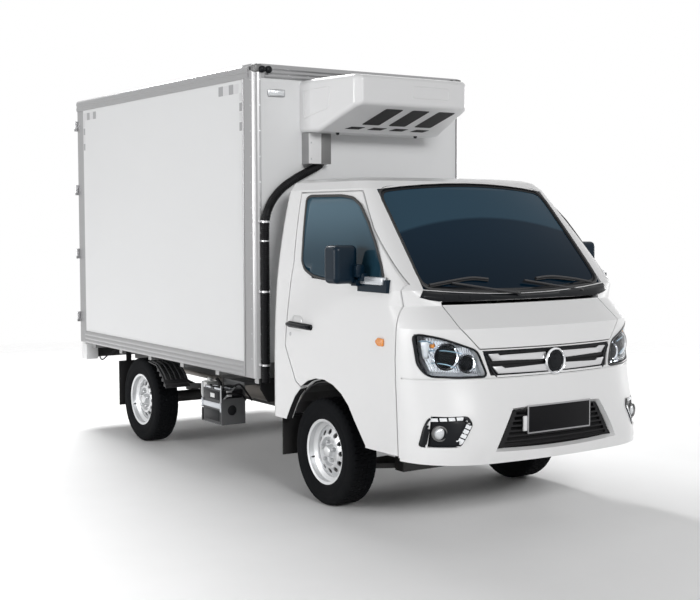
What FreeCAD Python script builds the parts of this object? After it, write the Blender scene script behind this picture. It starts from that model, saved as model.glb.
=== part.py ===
import FreeCAD, Part
import math
import os
import Sketcher

# Refrigerated light truck. +X is forward, +Y is the left side, +Z is up. Millimetres.
# The origin lies on the ground, half way along the truck, on its centre plane.

os.makedirs("parts", exist_ok=True)
document = FreeCAD.newDocument("refrigerated_truck")
Vector = FreeCAD.Vector

# Driving dimensions. Places along the truck are measured from the front axle, forward positive.
SIZES = {
    "wheelbase": 2500, "front_overhang": 1135, "rear_overhang": 1090,
    # Wheels and tyres
    "tyre_radius": 307, "tyre_width": 178, "wheel_centre_y": 680, "rim_radius": 178, "rim_flange": 16,
    "rim_width": 140, "rim_disc_y": 46, "rim_wall": 6, "hub_bore": 32, "hub_radius": 56,
    "vent_radius": 15, "vent_circle": 112, "vent_count": 12, "tread_groove": 7, "tyre_bore_gap": 1,
    # Cab skin: height, half width, start of the front corner, nose and bow of the nose at each level
    "cab_back": 515, "cab_back_radius": 42, "cab_wall": 45, "cab_half_width": 800, "corner_start": 700,
    "corner_end_y": 430, "corner_fullness": 0.66, "foot_height": 385, "foot_nose": 1130, "foot_bow": 26,
    "bumper_height": 480, "bumper_bow": 28, "mouth_height": 630, "mouth_nose": 1124, "mouth_bow": 38,
    "waist_height": 820, "waist_nose": 1086, "waist_bow": 43, "lamp_height": 960, "lamp_nose": 1070,
    "lamp_half_width": 797, "lamp_bow": 42, "crease_height": 1070, "crease_nose": 1056,
    "crease_half_width": 793, "crease_bow": 36, "cowl_height": 1180, "cowl_nose": 902,
    "cowl_half_width": 786, "cowl_start": 640, "cowl_bow": 38, "belt_height": 1262, "belt_nose": 808,
    "belt_half_width": 781, "belt_start": 685, "belt_bow": 28, "pillar_height": 1530, "pillar_nose": 593,
    "pillar_half_width": 742, "pillar_start": 440, "pillar_bow": 48, "header_height": 1802,
    "header_nose": 378, "header_half_width": 684, "header_start": 165, "header_bow": 82,
    "shoulder_height": 1845, "shoulder_nose": 330, "shoulder_half_width": 650, "shoulder_start": 110,
    "roof_height": 1868, "roof_nose": 205, "roof_half_width": 560, "roof_start": 0, "roof_back": 460,
    "screen_corner_y": 648, "header_corner_y": 596,
    # Cab doors
    "door_front": 741, "door_front_low": 770, "door_shoulder_height": 906, "door_foot_height": 400,
    "door_top_height": 1790, "door_top_front": 262, "door_top_back": 350, "door_back": 314,
    "door_back_height": 1381, "door_back_low": 363, "door_back_low_height": 890, "door_arch_back": 245,
    "door_gap": 8, "door_inner_y": 664, "jamb_width": 22, "seat_gap": 0.3, "window_sill_front": 648,
    "window_sill_front_height": 1262, "window_sill_back": 96, "window_sill_back_height": 1296,
    "window_back": 190, "window_back_height": 1385, "window_top_back": 283, "window_top_front": 222,
    "window_top_height": 1750, "glass_depth": 12, "glass_thickness": 5, "glass_gap": 0.5,
    # Wheel arch
    "arch_radius": 395, "arch_centre_height": 330, "arch_foot_back": 348, "arch_foot_front": 465,
    "liner_thickness": 5, "liner_inner_y": 405, "flap_x": 428, "flap_foot": 227, "flap_thickness": 8,
    "flap_width": 190,
    # Windscreen and rear window
    "screen_low_half": 645, "screen_low_height": 1266, "screen_low_mid": 1232, "screen_top_half": 603,
    "screen_top_height": 1796, "screen_top_mid": 1836, "rear_window_half": 480, "rear_window_low": 1300,
    "rear_window_top": 1680,
    # Front panel, hood, lamps, grilles and bumper
    "bumper_top": 818, "bumper_wall": 30, "bumper_seam": 8, "hood_low_half": 467, "hood_low_height": 962,
    "hood_crease_half": 566, "hood_top_height": 1190, "hood_wall": 16, "hood_gap": 6,
    "hood_hinge_gap": 17, "grille_half": 452, "grille_low_half": 414, "grille_low": 828,
    "grille_bar_count": 4, "emblem_radius": 52, "emblem_height": 882, "mouth_top_half": 300,
    "mouth_top": 640, "mouth_low_half": 398, "mouth_low": 462, "mesh_bar": 8, "mesh_count": 7,
    "surround_top_half": 320, "surround_top": 684, "surround_low_half": 464, "surround_low": 428,
    "mouth_depth": 1066, "surround_depth": 1150, "mesh_depth": 20, "plate_half": 220, "plate_low": 522,
    "plate_top": 663, "plate_x": 1111, "plate_thickness": 6, "ring_tube": 6, "lamp_depth": 70,
    "lamp_gap": 0.5, "lamp_start": 800, "fog_start": 850, "bumper_lip": 8,
    # Door mirrors
    "mirror_x": 300, "mirror_foot_back": 400, "mirror_foot_front": 664, "mirror_foot_y": 802,
    "mirror_depth": 128, "mirror_inner_y": 812, "mirror_width": 146, "mirror_low": 1287,
    "mirror_height": 206,
    # Cab inside
    "floor_height": 455, "floor_thickness": 25, "seat_deck_height": 765, "deck_front": 330,
    "deck_foot": 470, "firewall_x": 905, "seat_half_width": 235, "seat_centre_y": 390,
    "seat_cushion_height": 120, "seat_back_height": 560, "seat_front": 300, "dash_back": 480,
    "dash_low": 930, "dash_top": 1150, "dash_half_width": 600, "steering_wheel_radius": 190,
    "steering_rim": 14, "steering_wheel_x": 370, "steering_wheel_height": 1185, "steering_tilt": 52,
    "column_radius": 20, "column_start": 105, "column_length": 110, "steering_wheel_y": 390,
    # Chassis
    "frame_rail_y": 340, "frame_rail_width": 60, "frame_rail_height": 110, "frame_front_height": 330,
    "frame_back_height": 500, "frame_kick_front": -480, "frame_kick_back": -760, "frame_front": 900,
    "frame_end": -3480, "cross_member": 60, "engine_front": 180, "engine_back": -560, "engine_half": 250,
    "engine_low": 250, "engine_top": 720, "axle_tube_radius": 42, "diff_radius": 130, "drum_radius": 125,
    "drum_width": 60, "spring_y": 340, "spring_width": 60, "spring_leaf": 9, "spring_half_length": 560,
    "shaft_radius": 32, "tank_length": 620, "tank_front": -900, "tank_width": 230, "tank_height": 230,
    "exhaust_radius": 24, "muffler_radius": 85, "muffler_length": 480, "kingpin_y": 610,
    "arm_height": 215, "strut_radius": 24, "coil_radius": 58, "coil_top": 697, "disc_radius": 125,
    "disc_thickness": 18,
    # Battery carrier
    "carrier_front": -1350, "carrier_back": -1640, "carrier_low": 264, "carrier_top": 440,
    "carrier_y": 700, "carrier_width": 180, "carrier_hole": 34, "battery_length": 245,
    "battery_height": 225, "battery_width": 159, "clamp_height": 14,
    # Cold box
    "box_front": -701, "box_back": -3571, "box_half_width": 803, "box_low": 653, "box_top": 2574,
    "box_skin": 6, "box_side_wall": 55, "box_front_wall": 75, "box_roof_thickness": 75,
    "skirt_height": 94, "top_rail_height": 84, "corner_post": 152, "corner_radius": 45,
    "corner_solid": 40, "rail_chamfer": 10, "rear_frame_depth": 120, "rear_frame_side": 48,
    "rear_frame_top": 90, "cross_beam": 50, "cross_beam_count": 6,
    # Rear doors
    "rear_door_thickness": 60, "rear_door_recess": 12, "rear_door_gap": 8, "rear_door_bevel": 18,
    "lock_bar_radius": 12, "lock_bar_y": 250, "hinge_pin_radius": 7, "hinge_offset": 12,
    "hinge_strap_height": 60, "hinge_strap_length": 150, "hinge_count": 4,
    # Cooling unit
    "unit_front": -150, "unit_front_low": 2311, "unit_front_top": 2476, "unit_top": 2489,
    "unit_under": -518, "unit_under_height": 2166, "unit_back_half": 478, "unit_front_half": 404,
    "unit_fillet": 30, "cover_y": -382, "cover_width": 164, "cover_low": 1974, "cover_depth": 80,
    "hose_radius": 23, "hose_x": -668, "hose_start_y": -345, "hose_y": -750, "hose_low": 640,
    "hose_lean": 26, "hose_tight_bend": 60, "hose_wide_bend": 330,
    # Rear end
    "rear_bar_low": 528, "rear_bar_height": 110, "rear_bar_half": 780, "rear_bar_end": 90,
    "rear_lamp_length": 260, "rear_lamp_height": 100, "rear_lamp_y": 590, "fender_rib_count": 4,
    "fender_thickness": 6, "rear_flap_x": -2854, "rear_flap_foot": 224, "rear_flap_top": 561,
}

sheet = document.addObject("Spreadsheet::Sheet", "Sizes")
for row, (alias, value) in enumerate(SIZES.items(), start=1):
    sheet.set("A%d" % row, alias)
    sheet.set("B%d" % row, str(value))
    sheet.setAlias("B%d" % row, alias)
document.recompute()


class Size:
    """A length with the spreadsheet formula that it comes from."""

    def __init__(self, value, text):
        self.value = float(value)
        self.text = text

    @staticmethod
    def of(thing):
        return thing if isinstance(thing, Size) else Size(thing, repr(thing))

    def __add__(self, other):
        other = Size.of(other)
        return Size(self.value + other.value, "(%s + %s)" % (self.text, other.text))

    def __sub__(self, other):
        other = Size.of(other)
        return Size(self.value - other.value, "(%s - %s)" % (self.text, other.text))

    def __mul__(self, other):
        other = Size.of(other)
        return Size(self.value * other.value, "(%s * %s)" % (self.text, other.text))

    def __truediv__(self, other):
        other = Size.of(other)
        return Size(self.value / other.value, "(%s / %s)" % (self.text, other.text))

    def __radd__(self, other):
        return Size.of(other) + self

    def __rsub__(self, other):
        return Size.of(other) - self

    def __rmul__(self, other):
        return Size.of(other) * self

    def __neg__(self):
        return Size(-self.value, "(-%s)" % self.text)


class Sheet:
    """Reads a size by its name from the spreadsheet."""

    def __getattr__(self, alias):
        return Size(sheet.get(alias), "Sizes.%s" % alias)


S = Sheet()
FRONT_AXLE = (S.wheelbase + S.rear_overhang - S.front_overhang) / 2
REAR_AXLE = FRONT_AXLE - S.wheelbase
WHEEL_HEIGHT = S.tyre_radius
PARTS = {}


def bind(thing, prop, size):
    """Drives a property by a formula of the spreadsheet."""
    size = Size.of(size)
    thing.setExpression(prop, size.text)


def place(thing, x, y, z):
    """Puts an object at a point whose coordinates follow the spreadsheet."""
    bind(thing, "Placement.Base.x", x)
    bind(thing, "Placement.Base.y", y)
    bind(thing, "Placement.Base.z", z)
    return thing


def keep(label, thing):
    """Marks a finished object as a sub-part under its own label."""
    thing.Label = label
    PARTS[label] = thing
    return thing


def block(name, x, y, z):
    """A box between two places on each axis, each given as (low, high)."""
    box = document.addObject("Part::Box", name)
    bind(box, "Length", Size.of(x[1]) - x[0])
    bind(box, "Width", Size.of(y[1]) - y[0])
    bind(box, "Height", Size.of(z[1]) - z[0])
    return place(box, x[0], y[0], z[0])


TURNS = {
    "x": FreeCAD.Rotation(Vector(0, 1, 0), 90),
    "y": FreeCAD.Rotation(Vector(1, 0, 0), -90),
    "z": FreeCAD.Rotation(),
}


def rod(name, axis, radius, start, length):
    """A cylinder along an axis from a start point."""
    bar = document.addObject("Part::Cylinder", name)
    bind(bar, "Radius", radius)
    bind(bar, "Height", length)
    bar.Placement = FreeCAD.Placement(Vector(), TURNS[axis])
    return place(bar, *start)


def join(name, things):
    """One shape of several that meet."""
    union = document.addObject("Part::MultiFuse", name)
    union.Shapes = things
    union.Refine = False
    return union


def cut(name, base, tool):
    """The base without the tool."""
    result = document.addObject("Part::Cut", name)
    result.Base = base
    result.Tool = tool
    return result


def common(name, first, second):
    """What two objects share."""
    result = document.addObject("Part::Common", name)
    result.Base = first
    result.Tool = second
    return result


def group(name, things):
    """Several solids that don't touch, in one sub-part."""
    result = document.addObject("Part::Compound", name)
    result.Links = things
    return result


def mirrored(name, thing):
    """The same object on the left side of the truck."""
    result = document.addObject("Part::Mirroring", name)
    result.Source = thing
    result.Normal = Vector(0, 1, 0)
    return result


def origin_feature(body, role):
    return [feature for feature in body.Origin.OriginFeatures if feature.Role == role][0]


def sketch_on(body, name, plane, offset=0.0):
    """An empty sketch on an origin plane of the body, moved along the plane's normal."""
    sketch = body.newObject("Sketcher::SketchObject", name)
    sketch.AttachmentSupport = [(origin_feature(body, plane + "_Plane"), "")]
    sketch.MapMode = "FlatFace"
    bind(sketch, "AttachmentOffset.Base.z", offset)
    return sketch


def draw_outline(sketch, points):
    """A closed outline of straight lines whose corners are each held by two sizes."""
    points = [(Size.of(u), Size.of(v)) for u, v in points]
    count = len(points)
    for index in range(count):
        start, end = points[index], points[(index + 1) % count]
        sketch.addGeometry(Part.LineSegment(Vector(start[0].value, start[1].value, 0),
                                            Vector(end[0].value, end[1].value, 0)), False)
    for index in range(count):
        sketch.addConstraint(Sketcher.Constraint("Coincident", index, 2, (index + 1) % count, 1))
    for index, (u, v) in enumerate(points):
        for kind, size in (("DistanceX", u), ("DistanceY", v)):
            held = sketch.addConstraint(Sketcher.Constraint(kind, -1, 1, index, 1, size.value))
            if "Sizes" in size.text:
                sketch.setExpression("Constraints[%d]" % held, size.text)


def draw_circle(sketch, u, v, radius):
    """A circle whose centre and radius follow the spreadsheet."""
    u, v, radius = Size.of(u), Size.of(v), Size.of(radius)
    ring = sketch.addGeometry(Part.Circle(Vector(u.value, v.value, 0), Vector(0, 0, 1), radius.value), False)
    for kind, size in (("DistanceX", u), ("DistanceY", v)):
        held = sketch.addConstraint(Sketcher.Constraint(kind, -1, 1, ring, 3, size.value))
        if "Sizes" in size.text:
            sketch.setExpression("Constraints[%d]" % held, size.text)
    held = sketch.addConstraint(Sketcher.Constraint("Radius", ring, radius.value))
    if "Sizes" in radius.text:
        sketch.setExpression("Constraints[%d]" % held, radius.text)


def prism(name, plane, points, low, high):
    """A body padded from an outline, between two places along the plane's axis."""
    body = document.addObject("PartDesign::Body", name)
    backwards = plane == "XZ"
    offset = -Size.of(low) if backwards else Size.of(low)
    sketch = sketch_on(body, name + "_outline", plane, offset)
    draw_outline(sketch, points)
    pad = body.newObject("PartDesign::Pad", name + "_pad")
    pad.Profile = sketch
    pad.Reversed = backwards
    bind(pad, "Length", Size.of(high) - low)
    body.Tip = pad
    return body


def pocket(body, name, plane, points=None, circle=None):
    """Cuts an outline or a circle right through a body."""
    sketch = sketch_on(body, name + "_outline", plane)
    if points:
        draw_outline(sketch, points)
    else:
        draw_circle(sketch, *circle)
    hollow = body.newObject("PartDesign::Pocket", name)
    hollow.Profile = sketch
    hollow.Type = "ThroughAll"
    hollow.Midplane = True
    body.Tip = hollow
    return hollow


def turned(name, plane, points, axis):
    """A body revolved from an outline about a sketch axis (H_Axis or V_Axis)."""
    body = document.addObject("PartDesign::Body", name)
    sketch = sketch_on(body, name + "_outline", plane)
    draw_outline(sketch, points)
    turn = body.newObject("PartDesign::Revolution", name + "_turn")
    turn.Profile = sketch
    turn.ReferenceAxis = (sketch, [axis])
    turn.Angle = 360
    body.Tip = turn
    return body


def rounded(name, thing, radius, wanted):
    """Rounds the edges of a finished object that a test picks by their middle points."""
    document.recompute()
    edges = []
    for number, edge in enumerate(thing.Shape.Edges, start=1):
        if wanted(edge.CenterOfMass, edge):
            edges.append((number, Size.of(radius).value, Size.of(radius).value))
    fillet = document.addObject("Part::Fillet", name)
    fillet.Base = thing
    fillet.Edges = edges
    return fillet


def formed(name, shape):
    """A free-form object whose shape is worked out from the spreadsheet's values."""
    thing = document.addObject("Part::Feature", name)
    thing.Shape = shape
    return thing


# Wheels

def tyre_outline():
    """Half section of the tyre: bead, sidewall, shoulder and tread with two grooves."""
    half = S.tyre_width / 2
    bead = S.rim_radius + S.tyre_bore_gap
    groove = S.tyre_radius - S.tread_groove
    seat = S.rim_width / 2 - 8
    lip = S.rim_radius + S.rim_flange + 4
    side = [(seat, bead), (seat, lip), (half - 9, lip + 7), (half, lip + 33), (half - 3, S.tyre_radius - 36),
            (half - 14, S.tyre_radius - 10), (half - 26, S.tyre_radius - 2)]
    tread = [(Size.of(34), S.tyre_radius), (Size.of(30), groove), (Size.of(22), groove),
             (Size.of(18), S.tyre_radius)]
    outside = side + tread
    inside = [(-u, v) for u, v in reversed(outside)]
    return outside + inside


def make_tyre(name, x, y):
    tyre = turned(name, "YZ", tyre_outline(), "H_Axis")
    place(tyre, x, y, WHEEL_HEIGHT)
    return keep(name, tyre)


def make_rim(name, x, y, side):
    """Steel wheel: flanged barrel and dished disc with a ring of round holes. side is -1 on the right."""
    half = S.rim_width / 2
    lip = S.rim_radius + S.rim_flange
    wall = S.rim_wall
    well = S.rim_radius - 22
    points = [(-half - 9, lip), (-half - 3, lip), (-half + 3, S.rim_radius), (-half + 26, S.rim_radius),
              (-half + 40, well), (half - 40, well), (half - 26, S.rim_radius), (half - 3, S.rim_radius),
              (half + 3, lip), (half + 9, lip), (half + 3, S.rim_radius - wall), (half - 28, S.rim_radius - wall),
              (half - 42, well - wall), (half - 52, well - wall), (S.rim_disc_y - 14, well - wall - 26),
              (S.rim_disc_y, S.vent_circle - 14), (S.rim_disc_y + 2, 84), (S.rim_disc_y - 18, 72),
              (S.rim_disc_y - 18, S.hub_bore + 8), (S.rim_disc_y + 6, S.hub_bore), (S.rim_disc_y, S.hub_bore - 4),
              (S.rim_disc_y - 26, S.hub_bore + 4), (S.rim_disc_y - 26, Size.of(78)), (S.rim_disc_y - 8, 90),
              (S.rim_disc_y - 8, S.vent_circle - 16), (S.rim_disc_y - 24, well - wall - 28),
              (half - 62, well - wall), (-half + 42, well - wall), (-half + 28, S.rim_radius - wall),
              (-half + 3, S.rim_radius - wall)]
    if side < 0:
        points = [(-Size.of(u), v) for u, v in reversed(points)]
    rim = turned(name, "YZ", points, "H_Axis")
    document.recompute()
    hole = pocket(rim, name + "_hole", "XZ", circle=(S.vent_circle, 0, S.vent_radius))
    ring = rim.newObject("PartDesign::PolarPattern", name + "_holes")
    ring.Originals = [hole]
    ring.Axis = (origin_feature(rim, "Y_Axis"), [""])
    ring.Angle = 360
    bind(ring, "Occurrences", S.vent_count)
    rim.Tip = ring
    place(rim, x, y, WHEEL_HEIGHT)
    return keep(name, rim)


def make_wheels():
    for end, x in (("front", FRONT_AXLE), ("rear", REAR_AXLE)):
        for hand, side in (("right", -1), ("left", 1)):
            y = S.wheel_centre_y * side
            make_tyre("tyre_%s_%s" % (end, hand), x, y)
            make_rim("rim_%s_%s" % (end, hand), x, y, side)


# Cab skin

class Level:
    """One horizontal outline of the cab: half width, front corner and bowed nose at a height."""

    def __init__(self, height, half, start, corner_y, nose, bow, drop=0.0, back=None):
        self.height = Size.of(height).value
        self.half = Size.of(half).value
        self.start = Size.of(start).value
        self.corner_y = Size.of(corner_y).value
        self.nose = Size.of(nose).value
        self.bow = Size.of(bow).value
        self.drop = drop
        self.back = Size.of(back or S.cab_back).value

    def wire(self, inset):
        """The closed outline, inset all round and lowered by its own share of the inset."""
        z = self.height - self.drop * inset
        w = self.half - inset
        back = -self.back + inset
        radius = S.cab_back_radius.value - inset
        nose = self.nose - inset
        side_end = Vector(self.start, w, z)
        corner = Vector(nose - self.bow, self.corner_y - inset * 0.4, z)
        pull = Vector(self.bow / 0.75, -corner.y * 2 / 3, 0)
        meet = corner - pull * ((w - corner.y) / -pull.y)
        full = S.corner_fullness.value
        left_corner = [side_end, side_end + (meet - side_end) * full, corner + (meet - corner) * full, corner]
        left_nose = corner + pull
        right_corner = [Vector(p.x, -p.y, z) for p in reversed(left_corner)]
        right_nose = Vector(left_nose.x, -left_nose.y, z)
        front = [
            bezier(right_corner[::-1]),
            bezier([right_corner[0], right_nose, left_nose, corner]),
            bezier(left_corner[::-1]),
        ]
        if radius <= 0:
            rear = [Vector(self.start, w, z), Vector(back, w, z), Vector(back, -w, z), Vector(self.start, -w, z)]
            return Part.Wire([bezier(pair) for pair in zip(rear, rear[1:])] + front)
        bevel = radius * BEVEL
        left_back = [Vector(back + radius, w, z), Vector(back + bevel, w - bevel, z), Vector(back, w - radius, z)]
        right_back = [Vector(p.x, -p.y, z) for p in reversed(left_back)]
        rear = [side_end] + left_back + right_back + [right_corner[-1]]
        return Part.Wire([bezier(pair) for pair in zip(rear, rear[1:])] + front)


# Share of its radius by which a rear corner's middle edge lies in from the sharp corner
BEVEL = 1 - math.sqrt(0.5)


def bezier(poles):
    curve = Part.BezierCurve()
    curve.setPoles(list(poles))
    return curve.toShape()


def cab_levels():
    """The cab's levels from the foot to the roof."""
    half, start, corner = S.cab_half_width, S.corner_start, S.corner_end_y
    return [
        Level(S.foot_height, half, start, corner, S.foot_nose, S.foot_bow),
        Level(S.bumper_height, half, start, corner, S.front_overhang, S.bumper_bow),
        Level(S.mouth_height, half, start, corner, S.mouth_nose, S.mouth_bow),
        Level(S.waist_height, half, start, corner, S.waist_nose, S.waist_bow),
        Level(S.lamp_height, S.lamp_half_width, start, corner, S.lamp_nose, S.lamp_bow),
        Level(S.crease_height, S.crease_half_width, start - 10, corner, S.crease_nose, S.crease_bow, 0.2),
        Level(S.cowl_height, S.cowl_half_width, S.cowl_start, corner, S.cowl_nose, S.cowl_bow, 0.4),
        Level(S.belt_height, S.belt_half_width, S.belt_start, S.screen_corner_y, S.belt_nose, S.belt_bow, 0.4),
        Level(S.pillar_height, S.pillar_half_width, S.pillar_start, (S.screen_corner_y + S.header_corner_y) / 2,
              S.pillar_nose, S.pillar_bow, 0.3),
        Level(S.header_height, S.header_half_width, S.header_start, S.header_corner_y, S.header_nose,
              S.header_bow, 0.4),
        Level(S.shoulder_height, S.shoulder_half_width, S.shoulder_start, S.header_corner_y - 30,
              S.shoulder_nose, S.header_bow, 0.8),
        Level(S.shoulder_height + (S.roof_height - S.shoulder_height) * 0.7,
              S.roof_half_width + (S.shoulder_half_width - S.roof_half_width) * 0.55,
              S.roof_start + (S.shoulder_start - S.roof_start) * 0.55, S.header_corner_y - 65,
              S.roof_nose + (S.shoulder_nose - S.roof_nose) * 0.55, S.header_bow, 0.9,
              S.roof_back + (S.cab_back - S.roof_back) * 0.6),
        Level(S.roof_height, S.roof_half_width, S.roof_start, S.header_corner_y - 110, S.roof_nose,
              S.header_bow, 1.0, S.roof_back),
    ]


def cab_solid(inset):
    """The closed cab, smaller all round by the inset: body, hood slope, glass house and roof lofts."""
    wires = [each.wire(inset) for each in cab_levels()]
    body = Part.makeLoft(wires[0:6], True, False)
    hood = Part.makeLoft(wires[5:8], True, True)
    house = Part.makeLoft(wires[7:10], True, False)
    roof = Part.makeLoft(wires[9:13], True, True)
    solid = body.fuse([hood, house, roof])
    solid.translate(Vector(FRONT_AXLE.value, 0, 0))
    return solid


def skin(outer, inner):
    """The shell between two insets of the cab."""
    return SOLIDS[outer].cut(SOLIDS[inner])


def side_points(points):
    """Places along the truck and heights as points, moved to the front axle."""
    axle = FRONT_AXLE.value
    return [(axle + Size.of(x).value, Size.of(z).value) for x, z in points]


def side_face(points, y):
    corners = [Vector(x, y, z) for x, z in side_points(points)]
    return Part.Face(Part.makePolygon(corners + corners[:1]))


def side_prism(points, low, high, inset=0.0):
    """A straight cut through the cab's side, from one y to another, smaller all round by the inset."""
    face = side_face(points, low)
    if inset:
        face = Part.Face(face.makeOffset2D(-inset, join=2).Wires)
    return face.extrude(Vector(0, high - low, 0))


def front_prism(points, low, high, inset=0.0):
    """A straight cut through the cab's front, from one x to another, smaller all round by the inset."""
    axle = FRONT_AXLE.value
    corners = [Vector(axle + low, Size.of(y).value, Size.of(z).value) for y, z in points]
    face = Part.Face(Part.makePolygon(corners + corners[:1]))
    if inset:
        face = Part.Face(face.makeOffset2D(-inset, join=2).Wires)
    return face.extrude(Vector(high - low, 0, 0))


def arch_points():
    """The edge of the front wheel arch from its rear foot to its front foot."""
    points = [(-S.arch_foot_back, 300), (-S.arch_foot_back, 458)]
    steps = 9
    for step in range(steps + 1):
        turn = math.radians(150 - 118.0 * step / steps)
        points.append((S.arch_radius * math.cos(turn) * 0.98 + 30,
                       S.arch_centre_height + S.arch_radius * math.sin(turn)))
    points.append((S.arch_foot_front, 416))
    points.append((S.arch_foot_front, 300))
    return points


def door_points():
    """The door's outline on the side: hinge edge, sill, over the arch, rear edge, roof, pillar."""
    over_arch = [point for point in reversed(arch_points()[2:-1])
                 if point[0].value > -S.door_arch_back.value]
    return ([(S.door_front, S.window_sill_front_height + 32), (S.door_front, S.door_shoulder_height),
             (S.door_front_low, S.door_foot_height), (S.arch_foot_front, S.door_foot_height)]
            + over_arch
            + [(-S.door_arch_back, 689), (-S.door_back_low, S.door_back_low_height),
               (-S.door_back - 31, 1098), (-S.door_back, S.door_back_height),
               (-S.door_top_back, S.door_top_height), (S.door_top_front, S.door_top_height),
               (440, 1583)])


def window_points():
    return [(S.window_sill_front, S.window_sill_front_height), (-S.window_sill_back, S.window_sill_back_height),
            (-S.window_back, S.window_back_height), (-S.window_top_back, S.window_top_height),
            (S.window_top_front, S.window_top_height), (405, 1560)]


def screen_points():
    """The windscreen seen from the front, with its lower and upper edges bowed."""
    points = []
    steps = 8
    for step in range(steps + 1):
        share = 2.0 * step / steps - 1
        low = S.screen_low_mid.value + (S.screen_low_height - S.screen_low_mid).value * share ** 2
        points.append((S.screen_low_half.value * share, low))
    for step in range(steps + 1):
        share = 1 - 2.0 * step / steps
        top = S.screen_top_mid.value - (S.screen_top_mid - S.screen_top_height).value * share ** 2
        points.append((S.screen_top_half.value * share, top))
    return points


def headlamp_points(side):
    return [(side * y, z) for y, z in ((756, 1046), (660, 1024), (482, 957), (434, 826), (580, 826),
                                       (714, 832), (745, 884))]


def fog_points(side):
    return [(side * y, z) for y, z in ((720, 632), (600, 630), (560, 597), (620, 477), (740, 474))]


def mouth_points():
    return [(-S.mouth_top_half, S.mouth_top), (S.mouth_top_half, S.mouth_top),
            (S.mouth_low_half, S.mouth_low), (-S.mouth_low_half, S.mouth_low)]


def surround_points():
    """The outer edge of the bevelled surround of the bumper's mouth."""
    return [(-S.surround_top_half, S.surround_top), (S.surround_top_half, S.surround_top),
            (S.surround_low_half, S.surround_low), (-S.surround_low_half, S.surround_low)]


def front_wire(points, x):
    corners = [Vector(FRONT_AXLE.value + x, y.value, z.value) for y, z in points]
    return Part.makePolygon(corners + corners[:1])


def grille_points():
    return [(-S.grille_half, S.hood_low_height - S.hood_gap), (S.grille_half, S.hood_low_height - S.hood_gap),
            (S.grille_low_half, S.grille_low), (-S.grille_low_half, S.grille_low)]


def hood_points(above=0.0):
    """The hood seen from the front; its upper edge can be raised for the running gap at its hinge."""
    top = S.hood_top_height + above
    return [(-S.hood_low_half, S.hood_low_height), (S.hood_low_half, S.hood_low_height),
            (S.hood_crease_half, S.crease_height), (S.hood_crease_half, top),
            (-S.hood_crease_half, top), (-S.hood_crease_half, S.crease_height)]


# Depths below the cab's outer surface at which its pieces begin and end
WALL = S.cab_wall.value
SEAT = S.seat_gap.value
GLASS = S.glass_depth.value
GLASS_IN = GLASS + S.glass_thickness.value
LENS = 2.0
MESH = S.mesh_depth.value
LIP = S.bumper_lip.value
HOOD = S.hood_wall.value
BUMPER = S.bumper_wall.value
LAMP = S.lamp_depth.value
JAMB = WALL + 10.0
FLANGE = HOOD + 8.0
JAMB_FACE = WALL - 5.0
JAMB_BACK = JAMB + 2.0
BEHIND_LAMP = LAMP + 4.0
DEPTHS = (0.0, LENS, LIP, GLASS, GLASS_IN, HOOD, HOOD + SEAT, FLANGE, MESH, BUMPER, JAMB_FACE, WALL, WALL + SEAT,
          JAMB, JAMB_BACK, LAMP, BEHIND_LAMP)
SOLIDS = {depth: cab_solid(depth) for depth in DEPTHS}

# Reach along the truck of the straight cuts through the cab's front, windscreen and back wall
FRONT_REACH = (700.0, 1300.0)
SCREEN_REACH = (60.0, 1200.0)
BACK_REACH = (-700.0, -300.0)


def slab(x, z, half=950.0):
    """A block across the truck between two places along it and two heights."""
    axle = FRONT_AXLE.value
    return Part.makeBox(x[1] - x[0], 2 * half, z[1] - z[0], Vector(axle + x[0], -half, z[0]))


def rear_window_points():
    half = S.rear_window_half
    return [(-half, S.rear_window_low), (half, S.rear_window_low), (half, S.rear_window_top),
            (-half, S.rear_window_top)]


def door_side(side, inner, outset=0.0):
    """The straight cut of a door opening on one side, from an inner place out past the skin."""
    return side_prism(door_points(), *sorted((side * inner, side * 900.0)), -outset)


def make_cab_shell():
    """Pillars, sides, back wall, roof, floor and front panel of the cab, in one welded piece."""
    inner = S.door_inner_y.value - S.door_gap.value
    jamb = S.jamb_width.value
    front = S.door_front_low.value + S.bumper_seam.value
    nose = slab((front, 1300.0), (300.0, S.bumper_top.value))
    shell = SOLIDS[0.0].cut([SOLIDS[WALL], nose, front_prism(screen_points(), *SCREEN_REACH),
                             front_prism(rear_window_points(), *BACK_REACH),
                             front_prism(hood_points(S.hood_hinge_gap - S.hood_gap), *FRONT_REACH),
                             front_prism(grille_points(), *FRONT_REACH)])
    for side in (-1, 1):
        shell = shell.cut(front_prism(headlamp_points(side), S.lamp_start.value, 1300.0))
    bands = [skin(JAMB_FACE, JAMB).common(door_side(side, inner - 30, jamb)).cut(nose) for side in (-1, 1)]
    shell = shell.fuse(bands + [cab_floor()])
    hinge_edge = slab((470.0, 800.0), (1000.0, 1600.0)).cut(SOLIDS[JAMB_BACK])
    core = SOLIDS[WALL + SEAT].cut(hinge_edge)
    for side in (-1, 1):
        shell = shell.cut(door_side(side, inner).cut(core))
        shell = shell.cut(door_side(side, inner - 30, -S.door_gap.value - jamb).cut(SOLIDS[JAMB_BACK]))
        shell = shell.cut(side_prism(arch_points(), *sorted((side * 400.0, side * 900.0))))
    shell = shell.cut(slab((-700.0, front), (300.0, S.door_foot_height.value)))
    shell = shell.cut(slab((-700.0, -S.arch_foot_back.value), (300.0, 455.0)))
    shell = shell.cut(slab((-700.0, -440.0), (300.0, S.seat_deck_height.value), 700.0))
    return keep("cab_shell", formed("cab_shell", shell.fuse(hood_flange())))


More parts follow.
